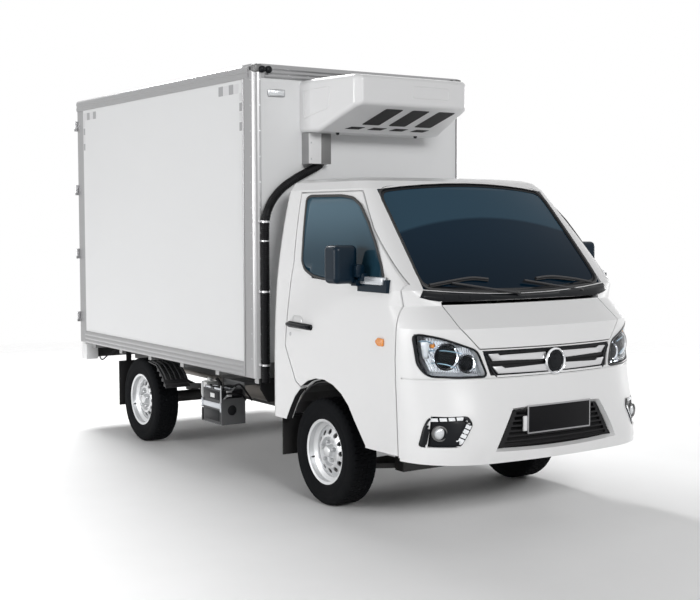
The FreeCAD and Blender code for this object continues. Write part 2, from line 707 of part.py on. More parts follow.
def hood_flange():
    """The lip behind the hood's side edges that it rests on."""
    ring = front_prism(hood_points(), *FRONT_REACH, -12.0).cut(front_prism(hood_points(), 650.0, 1350.0, 22.0))
    lip = skin(HOOD + SEAT, FLANGE).common(ring)
    below = slab(FRONT_REACH, (S.hood_low_height.value - 60, S.hood_low_height.value + 24))
    above = slab(FRONT_REACH, (S.cowl_height.value - 30, 1300.0))
    return lip.cut(below).cut(above)


def cab_floor():
    """Footwell, seat deck over the wheels and firewall, as one bent plate inside the cab walls."""
    thick = S.floor_thickness.value
    deck = S.seat_deck_height.value
    foot = S.floor_height.value
    wall_x = S.firewall_x.value
    outline = [(-S.cab_back + 20, deck), (S.deck_front, deck), (S.deck_foot, foot), (wall_x - 130, foot),
               (wall_x, foot + 130), (wall_x, 1040), (780, 1165), (780 - thick, 1165 - thick),
               (wall_x - thick, 1040 - thick / 2), (wall_x - thick, foot + 130 + thick / 2),
               (wall_x - 130 - thick / 2, foot + thick), (S.deck_foot + thick * 0.8, foot + thick),
               (S.deck_front + thick * 0.8, deck + thick), (-S.cab_back + 20, deck + thick)]
    plate = side_prism(outline, -900.0, 900.0)
    seam = S.corner_start.value - 20
    behind = plate.common(slab((-600.0, seam), (300.0, 1300.0))).common(SOLIDS[LIP])
    ahead = plate.common(slab((seam, 1300.0), (300.0, 1300.0))).common(SOLIDS[BEHIND_LAMP])
    return behind.fuse(ahead)


def make_doors():
    gap = S.door_gap.value
    clear = S.glass_gap.value
    inner = -S.door_inner_y.value
    panel = skin(0.0, WALL).common(side_prism(door_points(), -900.0, inner, gap))
    panel = panel.cut(side_prism(window_points(), -900.0, -560.0))
    glass = skin(GLASS, GLASS_IN).common(side_prism(window_points(), -900.0, -560.0, clear))
    right = formed("door_panel_right", panel)
    right_glass = formed("door_glass_right", glass)
    keep("door_panel_right", right)
    keep("door_glass_right", right_glass)
    keep("door_panel_left", mirrored("door_panel_left", right))
    keep("door_glass_left", mirrored("door_glass_left", right_glass))


def make_glass():
    clear = S.glass_gap.value
    screen = skin(GLASS, GLASS_IN).common(front_prism(screen_points(), *SCREEN_REACH, clear))
    rear = skin(GLASS, GLASS_IN).common(front_prism(rear_window_points(), *BACK_REACH, clear))
    keep("cab_glass", group("cab_glass", [formed("windscreen", screen), formed("rear_window", rear)]))


def make_bumper():
    """Bumper skin with a set-back upper lip under the front panel, a bevelled mouth and fog lamp openings."""
    front = S.door_front_low.value + S.bumper_seam.value
    top = S.bumper_top.value
    bumper = skin(0.0, BUMPER).common(slab((front, 1300.0), (300.0, top - S.bumper_seam.value)))
    lip = skin(LIP, BUMPER).common(slab((front, 1300.0), (top - 3 * S.bumper_seam.value, top - SEAT)))
    bumper = bumper.fuse(lip)
    funnel = Part.makeLoft([front_wire(mouth_points(), S.mouth_depth.value),
                            front_wire(surround_points(), S.surround_depth.value)], True, True)
    bumper = bumper.cut(front_prism(mouth_points(), 700.0, S.mouth_depth.value + 1.0).fuse(funnel))
    for side in (-1, 1):
        bumper = bumper.cut(front_prism(fog_points(side), S.fog_start.value, 1300.0))
    keep("front_bumper", formed("front_bumper", bumper))


def make_hood():
    hood = skin(0.0, HOOD).common(front_prism(hood_points(), *FRONT_REACH, S.hood_gap.value))
    keep("hood", formed("hood", hood))


def make_lamps():
    lamps = []
    for side in (-1, 1):
        lens = skin(LENS, LAMP).common(front_prism(headlamp_points(side), S.lamp_start.value, 1300.0,
                                                  S.lamp_gap.value))
        lamps.append(formed("headlamp_solid_%s" % ("right" if side < 0 else "left"), lens))
        fog = skin(LIP, WALL).common(front_prism(fog_points(side), S.fog_start.value, 1300.0, S.lamp_gap.value))
        lamps.append(formed("fog_solid_%s" % ("right" if side < 0 else "left"), fog))
    keep("front_lamps", group("front_lamps", lamps))


def make_grilles():
    """Upper grille with its bars and ring, lower mesh with its cross bars."""
    clear = S.lamp_gap.value
    upper = skin(LIP, WALL).common(front_prism(grille_points(), *FRONT_REACH, clear))
    low = S.grille_low.value
    pitch = (S.hood_low_height.value - S.hood_gap.value - low) / (S.grille_bar_count.value + 1)
    for number in range(int(S.grille_bar_count.value)):
        middle = low + pitch * (number + 1)
        groove = slab(FRONT_REACH, (middle - 5.0, middle + 5.0), S.grille_half.value - 40)
        upper = upper.cut(groove.cut(SOLIDS[HOOD]))
    middle = Vector(FRONT_AXLE.value + S.lamp_nose.value + 4.0, 0, S.emblem_height.value)
    ring = Part.makeTorus(S.emblem_radius.value - S.ring_tube.value, S.ring_tube.value, middle, Vector(1, 0, 0))
    disc = Part.makeCylinder(S.emblem_radius.value - 1.5 * S.ring_tube.value, 16.0, middle - Vector(12, 0, 0),
                             Vector(1, 0, 0))
    upper = upper.fuse([ring, disc])
    mesh = skin(MESH, BUMPER).common(front_prism(mouth_points(), *FRONT_REACH, clear))
    low = S.mouth_low.value
    pitch = (S.mouth_top.value - low) / S.mesh_count.value
    for number in range(int(S.mesh_count.value)):
        middle = low + pitch * (number + 0.5)
        half = S.mouth_low_half.value - 30 - (S.mouth_low_half - S.mouth_top_half).value * (middle - low) / (
            S.mouth_top.value - low)
        hole = pitch - S.mesh_bar.value
        mesh = mesh.cut(slab(FRONT_REACH, (middle - hole / 2, middle + hole / 2), half))
    plate_x = S.plate_x.value
    plate = Part.makeBox(S.plate_thickness.value, 2 * S.plate_half.value, (S.plate_top - S.plate_low).value,
                         Vector(FRONT_AXLE.value + plate_x, -S.plate_half.value, S.plate_low.value))
    bracket = slab((plate_x - 22.0, plate_x + 1.0), (S.plate_low.value + 14, S.mouth_top.value - 8), 120.0)
    mesh = mesh.fuse([plate, bracket])
    keep("grilles", group("grilles", [formed("upper_grille", upper), formed("lower_grille", mesh)]))


# Chassis

def make_frame():
    """Ladder frame: two kicked rails, their cross members, the cab's mounts and the engine's mounts."""
    low, high = S.frame_front_height, S.frame_back_height
    tall = S.frame_rail_height
    axle = FRONT_AXLE
    nose_low = low + 25
    nose_top = low + tall
    outline = [(axle + S.frame_front, nose_low), (axle + S.frame_kick_front, low),
               (axle + S.frame_kick_back, high), (axle + S.frame_end, high),
               (axle + S.frame_end, high + tall), (axle + S.frame_kick_back - 20, high + tall),
               (axle + S.frame_kick_front - 20, low + tall), (axle + S.frame_front, nose_top)]
    outer = S.frame_rail_y + S.frame_rail_width / 2
    inner = outer - S.frame_rail_width
    things = [prism("rail_right", "XZ", outline, -outer, -inner), prism("rail_left", "XZ", outline, inner, outer)]
    reach = inner + 10
    for number, x in enumerate((-3440, -2900, -2150, -1500, -900)):
        start = axle + x
        things.append(block("cross_member_%d" % number, (start, start + S.cross_member), (-reach, reach),
                            (high + 25, high + tall - 20)))
    start = axle + S.frame_front - 80
    things.append(block("cross_member_front", (start, start + S.cross_member), (-reach, reach),
                        (low + 45, low + 95)))
    for hand, ends in (("right", (-outer, -inner)), ("left", (inner, outer))):
        things.append(block("cab_mount_front_" + hand, (axle + 560, axle + 620), ends,
                            (nose_top - 5, S.floor_height - S.seat_gap)))
        things.append(block("cab_mount_back_" + hand, (axle - 470, axle - 430), ends,
                            (nose_top - 10, S.seat_deck_height - S.seat_gap)))
    for hand, ends in (("right", (-inner - 5, -S.engine_half - S.seat_gap)),
                       ("left", (S.engine_half + S.seat_gap, inner + 5))):
        things.append(block("engine_mount_" + hand, (axle - 220, axle - 150), ends, (low + 40, low + 90)))
    keep("chassis_frame", join("chassis_frame", things))


def make_engine():
    axle = FRONT_AXLE
    keep("engine_block", block("engine_block", (axle + S.engine_back, axle + S.engine_front),
                               (-S.engine_half, S.engine_half), (S.engine_low, S.engine_top)))


def make_front_suspension():
    """Cross member under the rails, two lower arms with ball studs, and the spring over each strut."""
    axle = FRONT_AXLE
    rise = 25 * (S.engine_front + 15 - S.frame_kick_front) / (S.frame_front - S.frame_kick_front)
    beam = block("suspension_beam", (axle + S.engine_front + 15, axle + S.engine_front + 95), (-400, 400),
                 (S.arm_height - 20, S.frame_front_height + rise - S.seat_gap))
    things = [beam]
    tip = S.kingpin_y + 20
    for hand, sign in (("right", -1), ("left", 1)):
        outline = [(axle - 60, 270 * sign), (axle + S.engine_front + 40, 270 * sign), (axle + 25, tip * sign),
                   (axle - 25, tip * sign)]
        if sign < 0:
            outline.reverse()
        things.append(prism("arm_" + hand, "XY", outline, S.arm_height - 18, S.arm_height + 10))
        things.append(rod("ball_stud_" + hand, "z", 14, (axle, S.kingpin_y * sign, S.arm_height),
                          20 - S.seat_gap))
    suspension = [join("suspension_arms", things)]
    strut_top = WHEEL_HEIGHT + STRUT_REACH
    for hand, side in (("right", -1), ("left", 1)):
        y = (S.kingpin_y - 60) * side
        suspension.append(rod("strut_top_" + hand, "z", S.coil_radius, (axle, y, strut_top + S.seat_gap),
                              S.coil_top - strut_top - S.seat_gap))
    keep("front_suspension", group("front_suspension", suspension))


# Height of the strut's top over the wheel centre
STRUT_REACH = 330


def make_knuckles():
    """Each knuckle: upright, hub, brake disc and the strut tube that turns with it."""
    axle = FRONT_AXLE
    inner = S.kingpin_y
    face = S.wheel_centre_y + S.rim_disc_y - 26 - S.seat_gap
    hub = rod("hub_right", "y", S.hub_radius, (axle, -face, WHEEL_HEIGHT), face - inner + 30)
    stub = rod("stub_right", "y", S.hub_bore - 6, (axle, -face - 24, WHEEL_HEIGHT), 60)
    disc = rod("disc_right", "y", S.disc_radius, (axle, -S.wheel_centre_y + 20, WHEEL_HEIGHT), S.disc_thickness)
    upright = block("upright_right", (axle - 45, axle + 45), (-inner - 30, -inner + 20),
                    (S.arm_height + 20, WHEEL_HEIGHT + 110))
    strut = rod("strut_right", "z", S.strut_radius, (axle, -inner + 60, WHEEL_HEIGHT - 60), STRUT_REACH + 60)
    bracket = block("strut_bracket_right", (axle - 30, axle + 30), (-inner, -inner + 70),
                    (WHEEL_HEIGHT - 50, WHEEL_HEIGHT + 90))
    right = join("knuckle_right", [hub, stub, disc, upright, strut, bracket])
    keep("knuckle_right", right)
    keep("knuckle_left", mirrored("knuckle_left", right))


def make_rear_axle():
    """Axle tube with its differential, brake drums and hub faces, and the leaf springs over it."""
    x = REAR_AXLE
    face = S.wheel_centre_y + S.rim_disc_y - 26 - S.seat_gap
    drum_end = face - 10
    reach = drum_end - S.drum_width + 5
    tube = rod("axle_tube", "y", S.axle_tube_radius, (x, -reach, WHEEL_HEIGHT), reach * 2)
    ball = document.addObject("Part::Sphere", "differential")
    bind(ball, "Radius", S.diff_radius)
    place(ball, x, 0, WHEEL_HEIGHT)
    things = [tube, ball]
    for hand, side in (("right", -1), ("left", 1)):
        for name, radius, start, end in (("drum_", S.drum_radius - 7, drum_end - S.drum_width, drum_end),
                                         ("hub_face_", S.hub_radius, drum_end - 5, face),
                                         ("axle_stub_", S.hub_bore - 6, drum_end - 5, face + 24)):
            low = start if side > 0 else -end
            things.append(rod(name + hand, "y", radius, (x, low, WHEEL_HEIGHT), end - start))
    keep("rear_axle", group("rear_axle", [join("axle_housing", things)] + make_leaf_springs()))


def make_leaf_springs():
    """Four bowed leaves a side, each shorter than the one above, with a pad on the axle and hangers."""
    springs = []
    seat = WHEEL_HEIGHT + S.axle_tube_radius + S.seat_gap
    for hand, side in (("right", -1), ("left", 1)):
        low = S.spring_y - S.spring_width / 2
        ends = (low, low + S.spring_width) if side > 0 else (-low - S.spring_width, -low)
        leaves = [block("spring_pad_" + hand, (REAR_AXLE - 45, REAR_AXLE + 45), ends, (seat, seat + 12))]
        count = 4
        for number in range(count):
            half = S.spring_half_length - 120 * number
            top = seat + 10 + S.spring_leaf * (count - number)
            rise = 60 * half / S.spring_half_length
            outline = [(REAR_AXLE - half, top + rise), (REAR_AXLE, top), (REAR_AXLE + half, top + rise),
                       (REAR_AXLE + half, top + rise - S.spring_leaf - 1), (REAR_AXLE, top - S.spring_leaf - 1),
                       (REAR_AXLE - half, top + rise - S.spring_leaf - 1)]
            leaves.append(prism("leaf_%s_%d" % (hand, number), "XZ", outline, *ends))
        for end, sign in (("front", 1), ("back", -1)):
            middle = REAR_AXLE + (S.spring_half_length - 15) * sign
            leaves.append(block("hanger_%s_%s" % (hand, end), (middle - 15, middle + 15), ends,
                                (seat + 90, S.frame_back_height - S.seat_gap)))
        springs.append(join("spring_" + hand, leaves))
    return springs


def make_drive_line():
    """Propeller shaft between the differential and the engine's back."""
    x = REAR_AXLE
    start = x + S.diff_radius + S.seat_gap
    end = FRONT_AXLE + S.engine_back - S.seat_gap
    keep("propeller_shaft", rod("propeller_shaft", "x", S.shaft_radius, (start, 0, WHEEL_HEIGHT), end - start))


def make_tank():
    axle = FRONT_AXLE
    side = S.frame_rail_y + S.frame_rail_width / 2 + S.seat_gap
    top = S.frame_back_height + 60
    keep("fuel_tank", block("fuel_tank", (axle + S.tank_front - S.tank_length, axle + S.tank_front),
                            (side, side + S.tank_width), (top - S.tank_height, top)))


def make_exhaust():
    """Pipe and silencer, hung from the cross members."""
    axle = FRONT_AXLE
    y = -190
    height = S.frame_back_height - 60
    things = [rod("exhaust_pipe", "x", S.exhaust_radius, (axle - 3440, y, height), 2760),
              rod("exhaust_muffler", "x", S.muffler_radius, (axle - 2020, y, height), S.muffler_length)]
    for number, x in enumerate((-2900, -2150, -900)):
        things.append(block("exhaust_hanger_%d" % number, (axle + x + 20, axle + x + 35), (y - 8, y + 8),
                            (height + 15, S.frame_back_height + 25 - S.seat_gap)))
    keep("exhaust", join("exhaust", things))


def make_battery_carrier():
    """Tray, pierced front plate and back plate of folded sheet on an arm, with the battery and its clamp."""
    axle = FRONT_AXLE
    outer = -S.carrier_y
    inner = outer + S.carrier_width
    x = (axle + S.carrier_back, axle + S.carrier_front)
    top = S.carrier_low + 6 + S.battery_height
    tray = block("carrier_tray", x, (outer, inner), (S.carrier_low, S.carrier_low + 6))
    back = block("carrier_back", x, (inner - 6, inner), (S.carrier_low, S.frame_back_height + 40))
    rear_end = block("carrier_end", (x[0], x[0] + 6), (outer, inner), (S.carrier_low, S.carrier_low + 90))
    plate = block("carrier_plate", (x[1] - 6, x[1]), (outer, inner), (S.carrier_low, S.carrier_top))
    hole_place = (x[1] - 20, outer + S.carrier_width / 2 - 10, S.carrier_low + 96)
    pierced = cut("pierced_plate", plate, rod("carrier_hole", "x", S.carrier_hole, hole_place, 40))
    arm = block("carrier_arm", (x[0] + 60, x[1] - 60),
                (inner - 6, -S.frame_rail_y - S.frame_rail_width / 2 - S.seat_gap),
                (S.frame_back_height + 10, S.frame_back_height + 40))
    keep("battery_carrier", join("battery_carrier", [tray, back, rear_end, pierced, arm]))
    face = outer + 4
    end = x[1] - 20
    case = block("battery_case", (end - S.battery_length, end), (face, face + S.battery_width),
                 (S.carrier_low + 6, top))
    clamp = block("battery_clamp", (end - 20 - S.battery_length / 2, end + 20 - S.battery_length / 2),
                  (face, inner - 6 - S.seat_gap), (top - 2, top + S.clamp_height))
    posts = [rod("battery_post_%d" % number, "z", 8, (end - reach, face + 36, top - 2), 22)
             for number, reach in enumerate((35, 210))]
    keep("battery", join("battery", [case, clamp] + posts))


# Fenders, liners and flaps

def ring_points(radius, thickness, start, end, steps, centre):
    """A thin curved strip on the side, from one angle to another."""
    outside = []
    inside = []
    for step in range(steps + 1):
        turn = math.radians(start + (end - start) * step / steps)
        outside.append((centre[0] + radius * math.cos(turn), centre[1] + radius * math.sin(turn)))
        inside.append((centre[0] + (radius - thickness) * math.cos(turn),
                       centre[1] + (radius - thickness) * math.sin(turn)))
    return outside + list(reversed(inside))


def make_liners():
    """Plastic liner in each front arch, and the flaps behind all wheels."""
    things = []
    side_y = S.cab_half_width - S.cab_wall - S.seat_gap
    for hand, side in (("right", -1), ("left", 1)):
        strip = ring_points(S.arch_radius - 12, S.liner_thickness, 155.0, 28.0, 10,
                            (FRONT_AXLE + 30, S.arch_centre_height))
        ends = (-side_y, -S.liner_inner_y - 20) if side < 0 else (S.liner_inner_y + 20, side_y)
        things.append(prism("liner_" + hand, "XZ", strip, *ends))
    keep("arch_liners", group("arch_liners", things))
    flaps = []
    floor_low = S.box_low + 30
    for hand, side in (("right", -1), ("left", 1)):
        ends = (Size.of(-780), -780 + S.flap_width) if side < 0 else (780 - S.flap_width, Size.of(780))
        x = FRONT_AXLE - S.flap_x
        flaps.append(block("front_flap_" + hand, (x, x + S.flap_thickness), ends,
                           (S.flap_foot, 455 - S.seat_gap)))
        x = FRONT_AXLE + S.rear_flap_x
        sheet_part = block("rear_flap_sheet_" + hand, (x, x + S.flap_thickness), ends,
                           (S.rear_flap_foot, S.rear_flap_top))
        post_ends = (Size.of(-720), Size.of(-680)) if side < 0 else (Size.of(680), Size.of(720))
        post = block("rear_flap_post_" + hand, (x, x + S.flap_thickness), post_ends,
                     (S.rear_flap_top - 20, floor_low - S.seat_gap))
        flaps.append(join("rear_flap_" + hand, [sheet_part, post]))
    keep("mud_flaps", group("mud_flaps", flaps))


def make_fenders():
    """Ribbed splash guard ahead of each rear wheel, with its bracket to the frame."""
    things = []
    x, z = REAR_AXLE, WHEEL_HEIGHT
    route = [(170, 300), (300, 285), (400, 215), (459, 140)]
    thick = S.fender_thickness
    for hand, side in (("right", -1), ("left", 1)):
        ends = (Size.of(-775), Size.of(-585)) if side < 0 else (Size.of(585), Size.of(775))
        strip = [(x + u, z + v) for u, v in route] + [(x + u - thick * 0.7, z + v - thick) for u, v in
                                                      reversed(route)]
        parts = [prism("fender_sheet_" + hand, "XZ", strip, *ends)]
        count = int(S.fender_rib_count.value)
        for number in range(count):
            share = (number + 0.5) / count
            u = 315 + 140 * share
            v = 280 - 130 * share
            parts.append(block("fender_rib_%s_%d" % (hand, number), (x + u - 16, x + u + 10), ends,
                               (z + v - 22, z + v - 2)))
        rail = S.frame_rail_y + S.frame_rail_width / 2 + S.seat_gap
        arm_ends = (Size.of(-600), -rail) if side < 0 else (rail, Size.of(600))
        parts.append(block("fender_arm_" + hand, (x + 270, x + 300), arm_ends, (z + 262, z + 284)))
        things.append(join("fender_" + hand, parts))
    keep("rear_fenders", group("rear_fenders", things))


# Cab inside

def make_seats():
    """Driver's and passenger's seat: cushion, backrest and headrest, as plain crowned pads."""
    axle = FRONT_AXLE
    seats = []
    deck = S.seat_deck_height + S.floor_thickness
    for hand, side in (("right", -1), ("left", 1)):
        y = S.seat_centre_y * side
        half = S.seat_half_width
        cushion = [(axle - 170, deck + S.seat_gap), (axle + S.seat_front, deck + S.seat_gap),
                   (axle + S.seat_front + 20, deck + 80),
                   (axle + S.seat_front - 20, deck + S.seat_cushion_height),
                   (axle - 150, deck + S.seat_cushion_height - 25)]
        back = [(axle - 158, deck + 40), (axle - 146, deck + 92), (axle - 210, deck + 70 + S.seat_back_height),
                (axle - 245, deck + 90 + S.seat_back_height), (axle - 300, deck + 60 + S.seat_back_height),
                (axle - 290, deck + 40)]
        head = [(axle - 240, deck + 640 + 30), (axle - 245, deck + 800), (axle - 300, deck + 800),
                (axle - 310, deck + 640)]
        name = "seat_" + hand
        seats.append(join(name, [prism(name + "_cushion", "XZ", cushion, y - half, y + half),
                                 prism(name + "_back", "XZ", back, y - half, y + half),
                                 prism(name + "_head", "XZ", head, y - 110, y + 110),
                                 rod(name + "_post_inner", "z", 6, (axle - 265, y - 50, deck + 600), 90),
                                 rod(name + "_post_outer", "z", 6, (axle - 265, y + 50, deck + 600), 90)]))
    keep("seats", group("seats", seats))


def make_dashboard():
    """Dashboard against the firewall, with the shroud of the steering column."""
    axle = FRONT_AXLE
    face = S.firewall_x - S.floor_thickness - S.seat_gap
    outline = [(axle + S.dash_back, S.dash_low + 60), (axle + S.dash_back + 30, S.dash_top),
               (axle + S.dash_back + 160, S.dash_top + 18), (axle + 735, S.dash_top - 10),
               (axle + face, Size.of(1015)), (axle + face, S.dash_low), (axle + S.dash_back + 60, S.dash_low)]
    board = prism("dashboard_board", "XZ", outline, -S.dash_half_width, S.dash_half_width)
    shroud = document.addObject("Part::Cylinder", "column_shroud")
    bind(shroud, "Radius", S.column_radius + 12)
    bind(shroud, "Height", S.column_length)
    shroud.Placement = steering_place(-S.column_start.value - S.column_length.value)
    keep("dashboard", join("dashboard", [board, shroud]))


def steering_place(along):
    """A place on the steering axis, measured up the column from the wheel's middle."""
    turn = FreeCAD.Rotation(Vector(0, 1, 0), S.steering_tilt.value - 90)
    middle = Vector((FRONT_AXLE + S.steering_wheel_x).value, S.steering_wheel_y.value,
                    S.steering_wheel_height.value)
    return FreeCAD.Placement(middle + turn.multVec(Vector(0, 0, along)), turn)


def make_steering_wheel():
    """Rim, three spokes, hub and the upper column that turns with them."""
    reach = (S.steering_wheel_radius - S.steering_rim).value
    shape = Part.makeTorus(reach, S.steering_rim.value)
    shape = shape.fuse(Part.makeCylinder(55.0, 40.0, Vector(0, 0, -28)))
    for turn in (90, 270, 0):
        spoke = Part.makeBox(reach, 34.0, 10.0, Vector(0, -17, -14))
        spoke.rotate(Vector(), Vector(0, 0, 1), turn)
        shape = shape.fuse(spoke)
    start = S.column_start.value - SEAT
    shape = shape.fuse(Part.makeCylinder(S.column_radius.value, start, Vector(0, 0, -start)))
    wheel = formed("steering_wheel", shape)
    wheel.Placement = steering_place(0.0)
    keep("steering_wheel", wheel)


# Mirrors, cowl and wipers

def make_mirrors():
    """Housing on a short arm from a wedge at the lower front corner of the door window."""
    axle = FRONT_AXLE
    foot_z = S.window_sill_front_height
    foot = block("mirror_foot", (axle + S.mirror_foot_back, axle + S.mirror_foot_front),
                 (-S.mirror_foot_y, -S.mirror_foot_y + 72), (foot_z - 16, foot_z + 52))
    arm = block("mirror_arm", (axle + S.mirror_foot_back - 8, axle + S.mirror_foot_back + 40),
                (-S.mirror_inner_y - 25, -S.mirror_foot_y + 22), (foot_z + 14, foot_z + 46))
    head = block("mirror_head", (axle + S.mirror_x, axle + S.mirror_x + S.mirror_depth),
                 (-S.mirror_inner_y - S.mirror_width, -S.mirror_inner_y),
                 (S.mirror_low, S.mirror_low + S.mirror_height))
    soft = rounded("mirror_head_round", head, 30, lambda point, edge: True)
    rough = join("mirror_rough", [foot, arm, soft])
    document.recompute()
    right = formed("mirror_right", rough.Shape.cut(SOLIDS[0.0]))
    keep("mirror_right", right)
    keep("mirror_left", mirrored("mirror_left", right))


def make_wipers():
    """Two parked wipers over the cowl, each with its pivot seated on the skin."""
    things = []
    axle = FRONT_AXLE.value
    for number, (pivot_y, pivot_x, tip_x) in enumerate(((-60.0, 842.0, 782.0), (440.0, 810.0, 791.0))):
        base = Part.makeCylinder(10.0, 42.0, Vector(axle + pivot_x, pivot_y, 1200), Vector(0.5, 0, 0.86))
        lean = Vector(axle + pivot_x + 14, pivot_y, 1232)
        tip = Vector(axle + tip_x, pivot_y - 400, 1296)
        arm = Part.makeCylinder(6.0, (tip - lean).Length, lean, tip - lean)
        things.append(formed("wiper_%d" % number, base.fuse(arm).cut(SOLIDS[0.0])))
    keep("wipers", group("wipers", things))


# Cold box

def make_box():
    axle = FRONT_AXLE
    back, front = axle + S.box_back, axle + S.box_front
    half = S.box_half_width - S.box_skin
    low, top = S.box_low, S.box_top
    inner_front = front - S.box_front_wall
    frame_x = back + S.rear_frame_depth
    floor_top = low + S.skirt_height + 20
    roof_low = top - S.box_skin - S.box_roof_thickness
    inner = half - S.box_side_wall
    keep("box_floor", make_box_floor(frame_x, inner_front, inner, low, floor_top))
    keep("box_roof", block("box_roof", (frame_x, inner_front), (-half, half), (roof_low, top - S.box_skin)))
    walls = [block("box_wall_" + hand, (frame_x, inner_front), ends, (low + S.box_skin, roof_low))
             for hand, ends in (("right", (-half, -inner)), ("left", (inner, half)))]
    keep("box_walls", group("box_walls", walls))
    panel = half - S.corner_solid
    keep("box_front_panel", block("box_front_panel", (inner_front, front - S.box_skin), (-panel, panel),
                                  (low + S.box_skin, top - S.box_skin)))
    make_box_rails(back, front, half, low, top, frame_x)
    make_rear_frame(back, frame_x, low, top)


def make_box_floor(frame_x, inner_front, inner, low, floor_top):
    """Insulated floor on cross beams that rest on the frame rails."""
    deck = block("box_floor_deck", (frame_x, inner_front), (-inner, inner), (low + 30, floor_top))
    things = [deck]
    rail_top = S.frame_back_height + S.frame_rail_height
    span = inner_front - frame_x - S.cross_beam
    for number in range(int(S.cross_beam_count.value)):
        start = frame_x + span * number / (S.cross_beam_count - 1)
        things.append(block("cross_beam_%d" % number, (start, start + S.cross_beam), (-inner, inner),
                            (rail_top, low + 40)))
    return join("box_floor", things)


def rail_outline(half, sign):
    """An angle section over a long edge of the box, with its outer corner cut back."""
    skin_y = half + S.box_skin
    return [(sign * u, v) for u, v in ((half, S.box_top - S.top_rail_height),
                                       (skin_y, S.box_top - S.top_rail_height),
                                       (skin_y, S.box_top - S.rail_chamfer),
                                       (skin_y - S.rail_chamfer, S.box_top),
                                       (half - 80, S.box_top), (half - 80, S.box_top - S.box_skin),
                                       (half, S.box_top - S.box_skin))]


def make_box_rails(back, front, half, low, top, frame_x):
    """Aluminium edges: top rails, skirts, front corner posts and the rail over the front wall."""
    rails = []
    skin_y = half + S.box_skin
    post_x = front - S.corner_post
    for hand, sign in (("right", -1), ("left", 1)):
        rails.append(prism("top_rail_" + hand, "YZ", rail_outline(half, sign), back, post_x))
        ends = (-skin_y, -half) if sign < 0 else (half, skin_y)
        rails.append(block("skirt_" + hand, (frame_x, post_x), ends, (low, low + S.skirt_height)))
        rails.append(make_corner_post(hand, sign, front, half, low, top))
    reach = half - S.corner_solid
    for name, heights in (("front_top_rail", (top - S.top_rail_height, top)),
                          ("front_skirt", (low, low + S.skirt_height))):
        rails.append(block(name, (front - S.box_skin, front), (-reach, reach), heights))
    keep("box_rails", group("box_rails", rails))


def make_corner_post(hand, sign, front, half, low, top):
    """Rounded corner post that fills the corner between the side and the front wall."""
    skin_y = half + S.box_skin
    radius = S.corner_radius
    post_x = front - S.corner_post
    outline = [(post_x, -half), (post_x, -skin_y), (front - radius, -skin_y)]
    steps = 6
    for step in range(1, steps):
        turn = math.radians(90.0 * step / steps)
        outline.append((front - radius + radius * math.sin(turn), -skin_y + radius - radius * math.cos(turn)))
    inner_x = front - S.box_front_wall
    reach = half - S.corner_solid
    outline += [(front, -skin_y + radius), (front, -reach), (inner_x, -reach), (inner_x, -half)]
    if sign > 0:
        outline = [(x, -y) for x, y in reversed(outline)]
    return prism("corner_post_" + hand, "XY", outline, low, top)


def make_rear_frame(back, frame_x, low, top):
    """Door frame of the box: posts, header and sill."""
    half = S.box_half_width - S.box_skin
    side = S.rear_frame_side
    things = [
        block("rear_post_right", (back, frame_x), (-half, -half + side), (low, top - S.box_skin)),
        block("rear_post_left", (back, frame_x), (half - side, half), (low, top - S.box_skin)),
        block("rear_header", (back, frame_x), (-half, half), (top - S.rear_frame_top, top - S.box_skin)),
        block("rear_sill", (back, frame_x), (-half, half), (low, low + S.skirt_height + 20)),
    ]
    hinge_x, hinge_y = rear_hinge_place(back + S.rear_door_recess)
    for number, z in enumerate(rear_hinge_heights()):
        for hand, ends in (("right", (hinge_y - 5, -half + 8)), ("left", (half - 8, -hinge_y + 5))):
            things.append(block("hinge_lug_%s_%d" % (hand, number), (hinge_x - 5, back), ends,
                                (z - 20, z - S.seat_gap)))
    keep("rear_frame", join("rear_frame", things))


def rear_hinge_place(outside):
    """The hinge pin's place on the right side, behind the door's outer face."""
    return outside - S.rear_door_recess - S.hinge_pin_radius - 1, -S.box_half_width - S.hinge_offset


def rear_door_heights():
    low = S.box_low + S.skirt_height + 20 + S.rear_door_gap
    return low, S.box_top - S.rear_frame_top - S.rear_door_gap


def rear_hinge_heights():
    low, high = rear_door_heights()
    count = int(S.hinge_count.value)
    return [low + 60 + (high - low - 120 - S.hinge_strap_height) * number / (S.hinge_count - 1)
            for number in range(count)]


def make_rear_doors():
    axle = FRONT_AXLE
    back = axle + S.box_back
    outside = back + S.rear_door_recess
    inside = outside + S.rear_door_thickness
    gap = S.rear_door_gap
    edge = S.box_half_width - S.box_skin - S.rear_frame_side - gap
    low, high = rear_door_heights()
    outline = [(outside, -edge), (inside, -edge + 4), (inside, -gap / 2 - S.rear_door_bevel),
               (outside, -gap / 2)]
    right = prism("rear_door_right", "XY", outline, low, high)
    keep("rear_door_right", right)
    keep("rear_door_left", mirrored("rear_door_left", right))
    make_door_gear(outside, low, high, edge)


